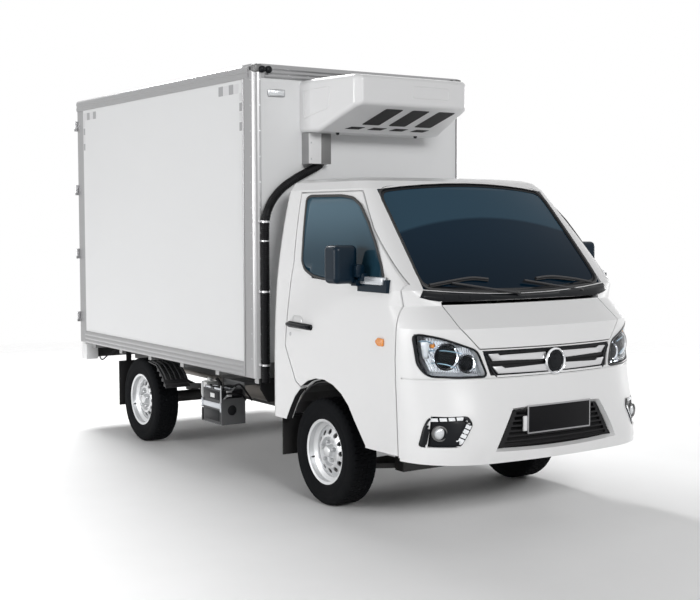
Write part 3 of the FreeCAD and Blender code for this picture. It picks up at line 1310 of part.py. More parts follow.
def make_door_gear(outside, low, high, edge):
    """Lock bar with its guides and handle, and the hinges of a rear door."""
    radius = S.lock_bar_radius
    bar_x = outside - 19
    hinge_x, hinge_y = rear_hinge_place(outside)
    things = [rod("lock_bar", "z", radius, (bar_x, -S.lock_bar_y, low + 20), high - low - 40)]
    for number in range(4):
        z = low + 90 + (high - low - 240) * number / 3
        things.append(block("bar_guide_%d" % number, (bar_x - 4, outside),
                            (-S.lock_bar_y - 30, -S.lock_bar_y + 30), (z, z + 46)))
    things.append(block("lock_handle", (bar_x - 8, bar_x + 4), (-S.lock_bar_y - 4, -S.lock_bar_y + 190),
                        (low + 480, low + 506)))
    for number, z in enumerate(rear_hinge_heights()):
        things.append(block("hinge_strap_%d" % number, (outside - 5, outside),
                            (-edge + 1, -edge + S.hinge_strap_length), (z, z + S.hinge_strap_height)))
        things.append(block("hinge_arm_%d" % number, (hinge_x - 4, outside), (-edge - 2, -edge + 8),
                            (z, z + S.hinge_strap_height)))
        things.append(block("hinge_reach_%d" % number, (hinge_x - 4, hinge_x + 2), (hinge_y, -edge + 8),
                            (z, z + S.hinge_strap_height)))
        things.append(rod("hinge_pin_%d" % number, "z", S.hinge_pin_radius, (hinge_x, hinge_y, z),
                          S.hinge_strap_height))
    right = join("rear_door_gear_right", things)
    keep("rear_door_gear_right", right)
    keep("rear_door_gear_left", mirrored("rear_door_gear_left", right))


def make_rear_end():
    """Under-run bar and the rear lamps."""
    axle = FRONT_AXLE
    back = axle + S.box_back
    low = S.rear_bar_low
    bar = block("rear_beam", (back + 10, back + 60), (-S.rear_bar_half, S.rear_bar_half),
                (low, low + S.rear_bar_height))
    ends = [block("rear_bar_end_%s" % hand, (back + 10, back + 10 + S.rear_bar_end), places,
                  (low - 8, low + S.rear_bar_height))
            for hand, places in (("right", (-S.rear_bar_half, -S.rear_bar_half + 6)),
                                 ("left", (S.rear_bar_half - 6, S.rear_bar_half)))]
    brackets = [block("rear_bracket_%d" % number, (back + 60, axle + S.frame_end),
                      (y - 20, y + 20), (low + 20, low + S.rear_bar_height))
                for number, y in enumerate((-340, 340))]
    keep("rear_bumper", join("rear_bumper", [bar] + ends + brackets))
    lamps = []
    for number, sign in enumerate((-1, 1)):
        middle = S.rear_lamp_y * sign
        lamps.append(block("rear_lamp_%d" % number, (back - 5, back + 10), (middle - S.rear_lamp_length / 2,
                                                                          middle + S.rear_lamp_length / 2),
                           (low - 5, low + S.rear_lamp_height - 5)))
    keep("rear_lamps", group("rear_lamps", lamps))


# Cooling unit

def make_cooling_unit():
    axle = FRONT_AXLE
    front = axle + S.box_front - S.box_skin
    nose = axle + S.unit_front
    under = axle + S.unit_under
    side_view = [(front, S.unit_under_height), (under, S.unit_under_height), (nose, S.unit_front_low),
                 (nose, S.unit_front_top), (nose - 60, S.unit_top), (front, S.unit_top)]
    one_side = [(front, S.unit_back_half), (front + 120, S.unit_back_half),
                (nose - 40, S.unit_front_half + 18), (nose, S.unit_front_half - 16)]
    plan_view = [(x, -y) for x, y in one_side] + one_side[::-1]
    length = S.unit_back_half + 20
    first = prism("unit_side_view", "XZ", side_view, -length, length)
    second = prism("unit_plan_view", "XY", plan_view, S.unit_under_height - 20, S.unit_top + 20)
    rough = common("unit_rough", first, second)
    wall_x = front.value + 5
    soft = rounded("unit_soft", rough, S.unit_fillet, lambda point, edge: point.x > wall_x)
    keep("cooling_unit", soft)


def make_line_cover():
    front = FRONT_AXLE + S.box_front - S.box_skin
    half = S.cover_width / 2
    outline = [(S.cover_y - half, S.cover_low), (S.cover_y + half, S.cover_low),
               (S.cover_y + half, S.unit_under_height), (S.cover_y - half, S.unit_under_height)]
    keep("line_cover", prism("line_cover", "YZ", outline, front, front + S.cover_depth))


def make_hose():
    """Sleeve of the cooling lines: out of the cover, slanting across the front wall and down its corner."""
    x = (FRONT_AXLE + S.hose_x).value
    start_y = S.hose_start_y.value
    end_y = S.hose_y.value
    top = Vector(x, start_y, S.cover_low.value - SEAT)
    drop = Vector(x, start_y, top.z - 8)
    lean = math.radians(S.hose_lean.value)
    tight = S.hose_tight_bend.value
    wide = S.hose_wide_bend.value

    def on_tight(turn):
        return Vector(x, start_y - tight + tight * math.sin(turn), drop.z - tight * math.cos(turn))

    slope_start = on_tight(lean)
    slope_end_y = end_y + wide - wide * math.sin(lean)
    slope_end_z = slope_start.z - (slope_start.y - slope_end_y) * math.tan(lean)

    def on_wide(turn):
        return Vector(x, end_y + wide - wide * math.sin(turn),
                      slope_end_z - wide * math.cos(lean) + wide * math.cos(turn))

    down = math.radians(90)
    half_way = (lean + down) / 2
    lines = [Part.LineSegment(top, drop), Part.Arc(drop, on_tight(half_way), slope_start),
             Part.LineSegment(slope_start, on_wide(lean)),
             Part.Arc(on_wide(lean), on_wide(half_way), on_wide(down)),
             Part.LineSegment(on_wide(down), Vector(x, end_y, S.hose_low.value))]
    route = Part.Wire([line.toShape() for line in lines])
    circle = Part.Wire([Part.Circle(top, Vector(0, 0, 1), S.hose_radius.value).toShape()])
    sleeve = formed("hose_sleeve", route.makePipeShell([circle], True, True, 0))
    keep("cooling_hose", group("cooling_hose", [sleeve] + make_hose_clips()))


def make_hose_clips():
    """Clips that hold the sleeve off the corner post."""
    wall = FRONT_AXLE + S.box_front + S.seat_gap
    face = FRONT_AXLE + S.hose_x - S.hose_radius - S.seat_gap
    clips = []
    for number, z in enumerate((1620, 1190, 740)):
        clips.append(block("hose_clip_%d" % number, (wall, face), (S.hose_y - 32, S.hose_y + 32),
                           (z - 9, z + 9)))
    return clips


def main():
    make_wheels()
    make_cab_shell()
    make_doors()
    make_glass()
    make_bumper()
    make_hood()
    make_lamps()
    make_grilles()
    make_frame()
    make_engine()
    make_front_suspension()
    make_knuckles()
    make_rear_axle()
    make_drive_line()
    make_tank()
    make_exhaust()
    make_battery_carrier()
    make_liners()
    make_fenders()
    make_seats()
    make_dashboard()
    make_steering_wheel()
    make_mirrors()
    make_wipers()
    make_box()
    make_rear_doors()
    make_rear_end()
    make_cooling_unit()
    make_line_cover()
    make_hose()
    document.recompute()
    for thing in document.Objects:
        if "Invalid" in thing.State or "Error" in thing.State:
            raise RuntimeError("%s: %s" % (thing.Label, thing.State))
    for label, thing in PARTS.items():
        if thing.Shape.isNull() or not thing.Shape.isValid():
            raise RuntimeError("%s has no valid shape" % label)
        thing.Shape.exportStep("parts/%s.step" % label)


main()
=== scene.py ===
import math

import bmesh
import bpy
from mathutils import Matrix, Vector
from mathutils.bvhtree import BVHTree

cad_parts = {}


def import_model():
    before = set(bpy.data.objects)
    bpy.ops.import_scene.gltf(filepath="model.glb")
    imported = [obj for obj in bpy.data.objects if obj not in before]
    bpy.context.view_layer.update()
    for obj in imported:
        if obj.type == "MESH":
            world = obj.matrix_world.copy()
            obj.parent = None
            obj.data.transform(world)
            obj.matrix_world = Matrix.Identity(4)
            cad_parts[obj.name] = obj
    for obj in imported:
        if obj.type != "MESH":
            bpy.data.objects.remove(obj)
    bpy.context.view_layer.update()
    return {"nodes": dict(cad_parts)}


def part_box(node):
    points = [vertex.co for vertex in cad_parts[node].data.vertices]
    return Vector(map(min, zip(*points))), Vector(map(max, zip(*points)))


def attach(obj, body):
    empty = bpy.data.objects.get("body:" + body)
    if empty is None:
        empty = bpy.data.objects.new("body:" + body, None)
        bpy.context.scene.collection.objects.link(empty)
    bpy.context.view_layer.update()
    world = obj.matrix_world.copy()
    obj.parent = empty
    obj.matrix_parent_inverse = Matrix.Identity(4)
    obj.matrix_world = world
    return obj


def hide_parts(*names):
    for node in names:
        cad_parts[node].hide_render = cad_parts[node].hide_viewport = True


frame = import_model()
NODES = frame["nodes"]
SIDES = (("right", -1), ("left", 1))
FAR = 6.0  # further from the middle than any part of the truck


def middle_of(node):
    low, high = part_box(node)
    return (low + high) / 2


AXLE = middle_of("tyre_front_right").x


def ahead(x):
    """A place along the truck, from its distance ahead of the front axle."""
    return AXLE + x


def all_ahead(places):
    """Places seen from the side, from their distance ahead of the front axle and their height."""
    return [(ahead(x), z) for x, z in places]


def on_side(side, places):
    """Places seen from the front, from their distance out from the middle and their height."""
    return [(side * y, z) for y, z in places]


# Shader nodes

class Net:
    """Adds shader nodes to a tree; a socket given as a value is linked, anything else is set."""

    def __init__(self, tree):
        self.tree = tree

    def put(self, socket, value):
        if isinstance(value, bpy.types.NodeSocket):
            self.tree.links.new(value, socket)
        else:
            socket.default_value = value

    def add(self, kind, sockets=None, **settings):
        node = self.tree.nodes.new("ShaderNode" + kind)
        for key, value in settings.items():
            setattr(node, key, value)
        for key, value in (sockets or {}).items():
            self.put(node.inputs[key], value)
        return node

    def group(self, name, sockets):
        return self.add("Group", sockets, node_tree=bpy.data.node_groups[name]).outputs

    def mix(self, share, first, second, blend="MIX"):
        return self.add("Mix", {0: share, 6: first, 7: second}, data_type="RGBA",
                blend_type=blend).outputs[2]

    def maths(self, operation, *values):
        return self.add("Math", dict(enumerate(values)), operation=operation).outputs[0]

    def span(self, value, low, high, start=0.0, end=1.0, **settings):
        return self.add("MapRange", {"Value": value, "From Min": low, "From Max": high, "To Min": start,
                                     "To Max": end}, **settings).outputs[0]

    def noise(self, vector, scale, detail, **sockets):
        return self.add("TexNoise", {"Vector": vector, "Scale": scale, "Detail": detail,
                **sockets}).outputs[0]

    def waves(self, place, pitch):
        """A sine along a place, with one wave for each pitch."""
        return self.maths("SINE", self.maths("MULTIPLY", self.maths("DIVIDE", place, pitch), 2 * math.pi))


KINDS = {type(None): "Vector", tuple: "Color", float: "Float"}
WHITE = (1.0, 1.0, 1.0, 1.0)
BLACK = (0.0, 0.0, 0.0, 1.0)
DUST = (0.16, 0.15, 0.14, 1.0)
THREAD_SHADE = (0.01, 0.01, 0.012, 1.0)


def effect(name, inputs, outputs):
    """An empty node group; an input's default gives its kind, and None stands for a vector."""
    tree = bpy.data.node_groups.new(name, "ShaderNodeTree")
    for label, default in inputs.items():
        socket = tree.interface.new_socket(label, in_out="INPUT",
                socket_type="NodeSocket" + KINDS[type(default)])
        if default is not None:
            socket.default_value = default
    for label in outputs:
        kind = "NodeSocketColor" if label == "Colour" else "NodeSocketFloat"
        tree.interface.new_socket(label, in_out="OUTPUT", socket_type=kind)
    return Net(tree), tree.nodes.new("NodeGroupInput").outputs, tree.nodes.new("NodeGroupOutput").inputs


def make_mottle():
    """Slow and fine variation of colour and roughness, with a fine grain height."""
    net, given, result = effect("mottle", {"Vector": None, "Colour": WHITE, "Roughness": 0.5, "Scale": 30.0,
            "Spread": 0.1}, ("Colour", "Roughness", "Height"))
    fine = net.noise(given["Vector"], given["Scale"], 5.0)
    slow = net.noise(given["Vector"], 1.7, 3.0)
    blend = net.maths("ADD", net.maths("MULTIPLY", fine, 0.5), net.maths("MULTIPLY", slow, 0.5))
    swing = net.maths("MULTIPLY", net.maths("SUBTRACT", blend, 0.5), given["Spread"])
    lift = net.maths("ADD", 1.0, swing)
    tint = net.add("CombineXYZ", {0: lift, 1: lift, 2: lift}).outputs[0]
    net.put(result["Colour"], net.mix(1.0, given["Colour"], tint, "MULTIPLY"))
    net.put(result["Roughness"], net.maths("ADD", given["Roughness"], swing))
    net.put(result["Height"], fine)


def make_painted_reflection():
    """Painted reflection: a blend of two colours over a range of height, arched across the truck's width.
    """
    net, given, result = effect("height_shade", {"Vector": None, "Low colour": BLACK, "High colour": WHITE,
            "Low": 0.0, "High": 1.0, "Arch": 0.0}, ("Colour",))
    parts = net.add("SeparateXYZ", {0: given["Vector"]}).outputs
    across = net.maths("MULTIPLY", parts[1], parts[1])
    place = net.maths("ADD", parts[2], net.maths("MULTIPLY", across, given["Arch"]))
    share = net.span(place, given["Low"], given["High"], interpolation_type="SMOOTHSTEP")
    net.put(result["Colour"], net.mix(share, given["Low colour"], given["High colour"]))


def make_road_film():
    """A thin film of dust that thickens towards the ground and gathers in patches."""
    net, given, result = effect("road_film", {"Vector": None, "Colour": WHITE, "Roughness": 0.5,
            "Film colour": DUST, "Top": 0.8, "Amount": 0.2}, ("Colour", "Roughness"))
    height = net.add("SeparateXYZ", {0: given["Vector"]}).outputs[2]
    rise = net.span(height, 0.0, given["Top"], 1.0, 0.0)
    patch = net.noise(given["Vector"], 6.0, 6.0, Roughness=0.65)
    share = net.maths("MULTIPLY", net.maths("MULTIPLY", rise, net.span(patch, 0.3, 0.7)), given["Amount"])
    net.put(result["Colour"], net.mix(share, given["Colour"], given["Film colour"]))
    net.put(result["Roughness"], net.maths("ADD", given["Roughness"], net.maths("MULTIPLY", share, 0.5)))


def make_brush_lines():
    """Fine drawn lines along one direction, as on rolled or extruded metal."""
    net, given, result = effect("brush_lines", {"Vector": None, "Stretch": None, "Scale": 200.0},
            ("Height",))
    drawn = net.add("VectorMath", {0: given["Vector"], 1: given["Stretch"]},
            operation="MULTIPLY").outputs[0]
    net.put(result["Height"], net.noise(drawn, given["Scale"], 3.0))


def make_ridges():
    """Even ridges at a pitch along a direction."""
    net, given, result = effect("ridges", {"Vector": None, "Direction": None, "Pitch": 0.02}, ("Height",))
    along = net.add("VectorMath", {0: given["Vector"], 1: given["Direction"]}, operation="DOT_PRODUCT")
    net.put(result["Height"], net.maths("MULTIPLY", net.waves(along.outputs["Value"], given["Pitch"]), 0.5))


def make_weave():
    """Crossing threads of a woven cloth."""
    net, given, result = effect("weave", {"Vector": None, "Pitch": 0.003}, ("Height", "Shade"))
    parts = net.add("SeparateXYZ", {0: given["Vector"]}).outputs
    first, second = (net.waves(net.maths("ADD", parts[axis], parts[2]), given["Pitch"]) for axis in (0, 1))
    cross = net.maths("MULTIPLY", first, second)
    net.put(result["Height"], cross)
    net.put(result["Shade"], net.span(cross, -1.0, 1.0))


def make_cells():
    """Small raised cells with valleys between them, for moulded grain and cast skin."""
    net, given, result = effect("cells", {"Vector": None, "Scale": 400.0}, ("Height",))
    cells = net.add("TexVoronoi", {"Vector": given["Vector"], "Scale": given["Scale"]}, feature="SMOOTH_F1")
    net.put(result["Height"], cells.outputs[0])


for make_effect in (make_mottle, make_painted_reflection, make_road_film, make_brush_lines, make_ridges,
                    make_weave, make_cells):
    make_effect()


# Finishes

def finish(name, colour, roughness, metallic=0.0, coat=0.0, spread=0.06, scale=30.0, film=0.0, film_top=1.0,
           brush=None, ridge=None, weave=0.0, cells=0.0, depth=0.0002, transmission=0.0, ior=1.5, sheen=0.0,
           specular=0.5, painted_reflection_bands=()):
    """One finish: mottled colour, road film and a relief of lines, ridges, threads or cells."""
    material = bpy.data.materials.new(name)
    material.use_nodes = True
    material.node_tree.nodes.clear()
    net = Net(material.node_tree)
    place = net.add("TexCoord").outputs["Object"]
    mottled = net.group("mottle", {"Vector": place, "Colour": (*colour, 1.0), "Roughness": roughness,
            "Scale": scale, "Spread": spread})
    base, rough, height = mottled["Colour"], mottled["Roughness"], mottled["Height"]
    # Painted reflection bands: each blends towards a lighter colour above a height, on a line arched across
    # the width.
    for upper, low, high, arch in painted_reflection_bands:
        base = net.group("height_shade", {"Vector": place, "Low colour": base, "High colour": (*upper, 1.0),
                "Low": low, "High": high, "Arch": arch})["Colour"]
    if weave:
        threads = net.group("weave", {"Vector": place, "Pitch": weave})
        base = net.mix(net.maths("MULTIPLY", threads["Shade"], 0.35), base, THREAD_SHADE)
        height = threads["Height"]
    if film:
        filmed = net.group("road_film", {"Vector": place, "Colour": base, "Roughness": rough,
                "Top": film_top, "Film colour": DUST, "Amount": film})
        base, rough = filmed["Colour"], filmed["Roughness"]
    if brush:
        height = net.group("brush_lines", {"Vector": place, "Stretch": brush, "Scale": 160.0})["Height"]
        rough = net.maths("ADD", rough, net.maths("MULTIPLY", net.maths("SUBTRACT", height, 0.5), 0.25))
    if cells:
        height = net.group("cells", {"Vector": place, "Scale": cells})["Height"]
    if ridge:
        direction, pitch = ridge
        height = net.group("ridges", {"Vector": place, "Direction": direction, "Pitch": pitch})["Height"]
    relief = net.add("Bump", {"Height": height, "Distance": depth, "Strength": 1.0}).outputs[0]
    shader = net.add("BsdfPrincipled", {"Base Color": base, "Roughness": rough, "Normal": relief,
            "Metallic": metallic, "IOR": ior, "Coat Weight": coat, "Coat Roughness": 0.12,
            "Transmission Weight": transmission, "Sheen Weight": sheen, "Specular IOR Level": specular})
    net.add("OutputMaterial", {0: shader.outputs[0]})
    return material


cab_paint = finish("cab_paint_white", (0.78, 0.78, 0.783), 0.32, coat=0.35, spread=0.03, film=0.12,
        film_top=0.75, depth=0.00002)
box_white = finish("box_panel_white", (0.74, 0.745, 0.75), 0.42, spread=0.03, scale=3.0, film=0.08,
        depth=0.0012)
unit_white = finish("unit_shell_white", (0.74, 0.74, 0.745), 0.36, coat=0.3, spread=0.03, depth=0.0001)
rail_metal = finish("rail_aluminium", (0.34, 0.34, 0.345), 0.32, metallic=0.7, spread=0.04, film=0.04,
        film_top=0.8, depth=0.00003)
rivet_metal = finish("rivet_steel", (0.50, 0.51, 0.52), 0.35, metallic=0.9, film=0.1)
gear_steel = finish("door_gear_steel", (0.55, 0.55, 0.56), 0.3, metallic=0.9, brush=(1.0, 1.0, 0.02),
        film=0.15, depth=0.0001)
plastic_black = finish("grained_black_plastic", (0.018, 0.018, 0.02), 0.5, cells=900.0, depth=0.00012,
        film=0.1, film_top=1.2)
gloss_black = finish("gloss_black_plastic", (0.006, 0.007, 0.009), 0.28, spread=0.1, film=0.03,
        specular=0.15, depth=0.00001)
mirror_black = finish("mirror_housing", (0.002, 0.011, 0.022), 0.30, spread=0.12, specular=0.18,
        depth=0.00001)
rubber = finish("seal_rubber", (0.015, 0.015, 0.016), 0.55, cells=1500.0, depth=0.0001, film=0.1)
flap_rubber = finish("flap_rubber", (0.010, 0.010, 0.011), 0.65, spread=0.2, film=0.15, film_top=0.6,
        specular=0.3)
tyre_rubber = finish("tyre_rubber", (0.0035, 0.004, 0.005), 0.8, spread=0.25, scale=60.0, film=0.03,
        film_top=0.5, specular=0.08)
wheel_silver = finish("wheel_silver", (0.68, 0.69, 0.70), 0.32, metallic=0.55, coat=0.4, film=0.15,
        film_top=0.55, depth=0.00008)
chassis_black = finish("chassis_black", (0.012, 0.012, 0.013), 0.5, spread=0.2, film=0.35, film_top=0.8,
        depth=0.0003)
cast_iron = finish("cast_iron", (0.09, 0.085, 0.08), 0.55, metallic=0.6, cells=260.0, film=0.3,
        film_top=0.7, depth=0.0004)
exhaust_steel = finish("exhaust_steel", (0.26, 0.24, 0.22), 0.5, metallic=0.8, spread=0.4, film=0.3)
galvanised = finish("galvanised_sheet", (0.16, 0.165, 0.17), 0.45, metallic=0.6, cells=60.0, film=0.2,
        depth=0.00005)
battery_black = finish("battery_case", (0.014, 0.015, 0.018), 0.4, spread=0.15, film=0.12, film_top=0.6)
bottle_white = finish("bottle_plastic", (0.72, 0.73, 0.72), 0.45, spread=0.05, film=0.2, film_top=0.7)
chrome = finish("reflector_chrome", (0.82, 0.83, 0.85), 0.08, metallic=1.0, spread=0.05, depth=0.00002)
bar_silver = finish("grille_bar_silver", (0.60, 0.60, 0.61), 0.3, metallic=0.7, spread=0.08, depth=0.00002)
amber = finish("amber_lens", (0.75, 0.25, 0.02), 0.2, coat=0.5, spread=0.1, ridge=((1, 0, 0.4), 0.004),
        depth=0.0003)
red_lens = finish("red_lens", (0.5, 0.015, 0.012), 0.18, coat=0.6, film=0.05, ridge=((0, 1, 0.3), 0.006),
        depth=0.0004)
clear_lamp = finish("clear_lamp_face", (0.72, 0.74, 0.76), 0.15, coat=0.6, metallic=0.3,
        ridge=((0, 1, 0.2), 0.004), depth=0.0004)
lamp_blue = finish("lamp_blue_fin", (0.30, 0.45, 0.55), 0.15, metallic=0.5, depth=0.00005)
lamp_white = finish("lamp_white_strip", (0.86, 0.88, 0.9), 0.25, ridge=((0, 1, 1), 0.012), depth=0.001)
tape_grey = finish("reflective_tape_grey", (0.36, 0.36, 0.37), 0.35, metallic=0.1, cells=300.0,
        depth=0.0001)
tape_white = finish("reflective_tape_white", (0.66, 0.66, 0.67), 0.35, cells=300.0, depth=0.0001)
# Black for the unit's vent openings: painted shade standing for the dark inside them.
vent_painted_shade = finish("vent_opening_painted_shade", (0.008, 0.008, 0.009), 0.7, spread=0.2)
dash_grey = finish("dashboard_grain", (0.03, 0.031, 0.034), 0.6, cells=700.0)
seat_cloth = finish("seat_cloth", (0.045, 0.047, 0.052), 0.85, weave=0.004, sheen=0.3, depth=0.0006)
mesh_black = finish("grille_mesh_black", (0.008, 0.008, 0.009), 0.6, film=0.05, cells=500.0, depth=0.0003,
        specular=0.2)
fluted_chrome = finish("fluted_reflector", (0.78, 0.80, 0.83), 0.12, metallic=1.0, spread=0.1,
        ridge=((0, 1, 0.3), 0.011), depth=0.0012)
silver_cover = finish("silver_foot_cover", (0.55, 0.57, 0.60), 0.25, metallic=0.6, depth=0.00005)
# On the cooling-line cover's side face this grey is painted shade; it also colours bulb shades, fog rings
# and corner caps.
shade_grey = finish("shaded_cover_face", (0.17, 0.17, 0.17), 0.45, metallic=0.3, depth=0.0001)
sleeve_black = finish("hose_sleeve_black", (0.004, 0.004, 0.005), 0.5, spread=0.2, specular=0.15)
plate_black = finish("plate_face", (0.004, 0.004, 0.005), 0.35, specular=0.12, spread=0.2, depth=0.00002)
plate_rim = finish("plate_rim", (0.35, 0.35, 0.36), 0.3, metallic=0.7)
mirror_face = finish("mirror_face", (0.75, 0.78, 0.8), 0.03, metallic=1.0, spread=0.02, depth=0.00001)
cargo_floor = finish("cargo_floor", (0.38, 0.38, 0.38), 0.45, metallic=0.5, ridge=((0, 1, 0), 0.03),
        depth=0.001)
# Dark tinted windscreen with painted reflection: lighter towards the top, then lighter again above an
# arched horizon line.
cab_tint_and_reflection = finish("cab_glass_tint_and_painted_reflection", (0.002, 0.012, 0.025), 0.05, transmission=0.02, spread=0.2, scale=0.8,
        depth=0.00001, specular=0.05, painted_reflection_bands=(((0.006, 0.022, 0.042), 1.25, 1.62, 0.0),
        ((0.028, 0.068, 0.105), 1.628, 1.648, 0.22)))
# Door glass with painted reflection: lighter towards the top.
door_tint_and_reflection = finish("door_glass_tint_and_painted_reflection", (0.014, 0.045, 0.070), 0.05, transmission=0.05, spread=0.2, scale=0.8,
        depth=0.00001, specular=0.15, painted_reflection_bands=(((0.080, 0.150, 0.200), 1.38, 1.72, 0.0),))
clear_lens = finish("clear_lens", (0.93, 0.95, 0.97), 0.02, transmission=1.0, ior=1.12, spread=0.02,
        depth=0.00001)

CARRIED = {
    cab_paint: ("cab_shell", "door_panel_right", "door_panel_left", "front_bumper", "hood"),
    cab_tint_and_reflection: ("cab_glass",),
    door_tint_and_reflection: ("door_glass_right", "door_glass_left"),
    plastic_black: ("arch_liners", "wipers", "rear_fenders", "steering_wheel"),
    mesh_black: ("grilles",),
    mirror_black: ("mirror_right", "mirror_left"),
    dash_grey: ("dashboard",),
    flap_rubber: ("mud_flaps",),
    wheel_silver: ("rim_front_right", "rim_front_left", "rim_rear_right", "rim_rear_left"),
    tyre_rubber: ("tyre_front_right", "tyre_front_left", "tyre_rear_right", "tyre_rear_left"),
    chassis_black: ("chassis_frame", "front_suspension", "rear_axle", "propeller_shaft", "fuel_tank",
                    "rear_bumper"),
    cast_iron: ("engine_block", "knuckle_right", "knuckle_left"),
    exhaust_steel: ("exhaust",),
    galvanised: ("battery_carrier",),
    battery_black: ("battery",),
    seat_cloth: ("seats",),
    box_white: ("box_roof", "box_walls", "box_front_panel", "rear_door_right", "rear_door_left"),
    cargo_floor: ("box_floor",),
    unit_white: ("cooling_unit",),
    rail_metal: ("box_rails", "rear_frame", "line_cover"),
    gear_steel: ("rear_door_gear_right", "rear_door_gear_left"),
    sleeve_black: ("cooling_hose",),
    red_lens: ("rear_lamps",),
    clear_lens: ("front_lamps",),
}
for carried_finish, names in CARRIED.items():
    for name in names:
        NODES[name].data.materials.clear()
        NODES[name].data.materials.append(carried_finish)


# Camera, floor and light

def make_camera():
    """The photograph's view: a long lens at the truck's right front, at a standing person's eye height."""
    yaw, pitch, roll = math.radians(56.06), math.radians(3.72), math.radians(0.09)
    camera = bpy.data.cameras.new("camera")
    camera.sensor_width = 36.0
    camera.lens = 36.0 * 1225.97 / 700  # the focal length over the picture's width, both in pixels
    camera.clip_end = 200.0
    holder = bpy.data.objects.new("camera", camera)
    holder.location = (7.0536, -4.5006, 1.6250)
    aim = Vector((-math.sin(yaw) * math.cos(pitch), math.cos(yaw) * math.cos(pitch), -math.sin(pitch)))
    turn = aim.to_track_quat("-Z", "Y").to_matrix().to_4x4() @ Matrix.Rotation(-roll, 4, "Z")
    holder.rotation_euler = turn.to_euler()
    bpy.context.scene.collection.objects.link(holder)
    bpy.context.scene.camera = holder


def make_floor():
    """A pale floor that fades out, far from the truck, into the white surround."""
    reach, fade_start, fade_end = 60.0, 4.0, 9.0
    mesh = bpy.data.meshes.new("floor")
    mesh.from_pydata([(-reach, -reach, 0), (reach, -reach, 0), (reach, reach, 0), (-reach, reach, 0)], [],
            [(0, 1, 2, 3)])
    floor = bpy.data.objects.new("floor", mesh)
    bpy.context.scene.collection.objects.link(floor)
    material = bpy.data.materials.new("studio_floor")
    material.use_nodes = True
    material.node_tree.nodes.clear()
    net = Net(material.node_tree)
    place = net.add("TexCoord").outputs["Object"]
    away = net.add("VectorMath", {0: place}, operation="LENGTH").outputs["Value"]
    fade = net.span(away, fade_start, fade_end)
    tone = net.mix(net.noise(place, 3.0, 4.0), (0.86, 0.86, 0.86, 1), (0.9, 0.9, 0.9, 1))
    surface = net.add("BsdfPrincipled", {"Base Color": tone, "Roughness": 0.6})
    clear = net.add("BsdfTransparent")
    blend = net.add("MixShader", {0: fade, 1: surface.outputs[0], 2: clear.outputs[0]})
    net.add("OutputMaterial", {0: blend.outputs[0]})
    mesh.materials.append(material)


def make_world():
    """The world's even light, which the camera, glass and glossy faces see as plain white."""
    world = bpy.data.worlds.new("studio")
    world.use_nodes = True
    bpy.context.scene.world = world
    world.node_tree.nodes.clear()
    net = Net(world.node_tree)
    path = net.add("LightPath").outputs
    seen = net.maths("MAXIMUM", path["Is Camera Ray"], path["Is Transmission Ray"])
    seen = net.maths("MAXIMUM", seen, path["Is Glossy Ray"])
    even = net.add("Background", {"Color": (0.98, 0.99, 1.0, 1), "Strength": 0.13})
    white = net.add("Background", {"Color": WHITE, "Strength": 1.0})
    blend = net.add("MixShader", {0: seen, 1: even.outputs[0], 2: white.outputs[0]})
    net.add("OutputWorld", {0: blend.outputs[0]})


LIGHTS = (  # name, place, aim, width, height and power
    ("key_light", (-6.0, 0.8, 6.5), (0.2, 0, 0.7), 3.0, 2.4, 840.0),
    ("front_light", (13.0, -2.5, 6.2), (1.0, 0, 1.3), 5.0, 3.0, 880.0),
    ("right_light", (-0.5, -10.0, 2.4), (0, 0, 1.3), 5.0, 2.4, 440.0),
    ("left_light", (-0.5, 11.0, 2.6), (0, 0, 1.3), 5.0, 2.6, 430.0),
)


def make_lights():
    for name, place, aim, width, height, power in LIGHTS:
        light = bpy.data.lights.new(name, "AREA")
        light.shape = "RECTANGLE"
        light.size, light.size_y, light.energy = width, height, power
        holder = bpy.data.objects.new(name, light)
        holder.location = place
        holder.rotation_euler = (Vector(aim) - Vector(place)).to_track_quat("-Z", "Y").to_euler()
        bpy.context.scene.collection.objects.link(holder)


make_camera()
make_floor()
make_world()
make_lights()
bpy.context.scene.view_settings.view_transform = "Standard"


# Making pieces

def add_piece(name, mesh, material, body="chassis", smooth=None):
    """Links a mesh as a piece of the truck on its body."""
    piece = bpy.data.objects.new(name, mesh)
    bpy.context.scene.collection.objects.link(piece)
    mesh.materials.append(material)
    if smooth is not None:
        mesh.shade_smooth()
        mesh.set_sharp_from_angle(angle=math.radians(smooth))
    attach(piece, body)
    return piece


def from_parts(name, verts, faces, material, body="chassis", smooth=None):
    mesh = bpy.data.meshes.new(name)
    mesh.from_pydata([tuple(v) for v in verts], [], faces)
    mesh.validate()
    return add_piece(name, mesh, material, body, smooth)


def quads(rings, count, wrap_rings=False, wrap=True):
    """Four-sided faces between rings of the same count of points."""
    faces = []
    for ring in range(rings if wrap_rings else rings - 1):
        here, there = ring * count, (ring + 1) % rings * count
        for i in range(count if wrap else count - 1):
            j = (i + 1) % count
            faces.append((here + i, here + j, there + j, there + i))
    return faces


def prism(name, first, second, material, slot, smooth=None, turn=1):
    """A solid between two outlines; a turn of -1 reverses its end faces."""
    count = len(first)
    faces = [tuple(range(count))[::turn], tuple(range(2 * count - 1, count - 1, -1))[::turn]]
    return from_parts(name, first + second, faces + quads(2, count), material, smooth=smooth)


def surface_of(*names):
    """The skins of some CAD pieces, to lay trim on."""
    verts, faces = [], []
    for name in names:
        mesh = NODES[name].data
        start = len(verts)
        verts += [v.co.copy() for v in mesh.vertices]
        faces += [[start + i for i in polygon.vertices] for polygon in mesh.polygons]
    return BVHTree.FromPolygons(verts, faces)


def sight(view, u, v):
    """A start point far outside and a direction of sight for a place in a flat view."""
    if view == "front":
        return Vector((FAR, u, v)), Vector((-1, 0, 0))
    side = dict(SIDES)[view]
    return Vector((u, side * FAR, v)), Vector((0, -side, 0))


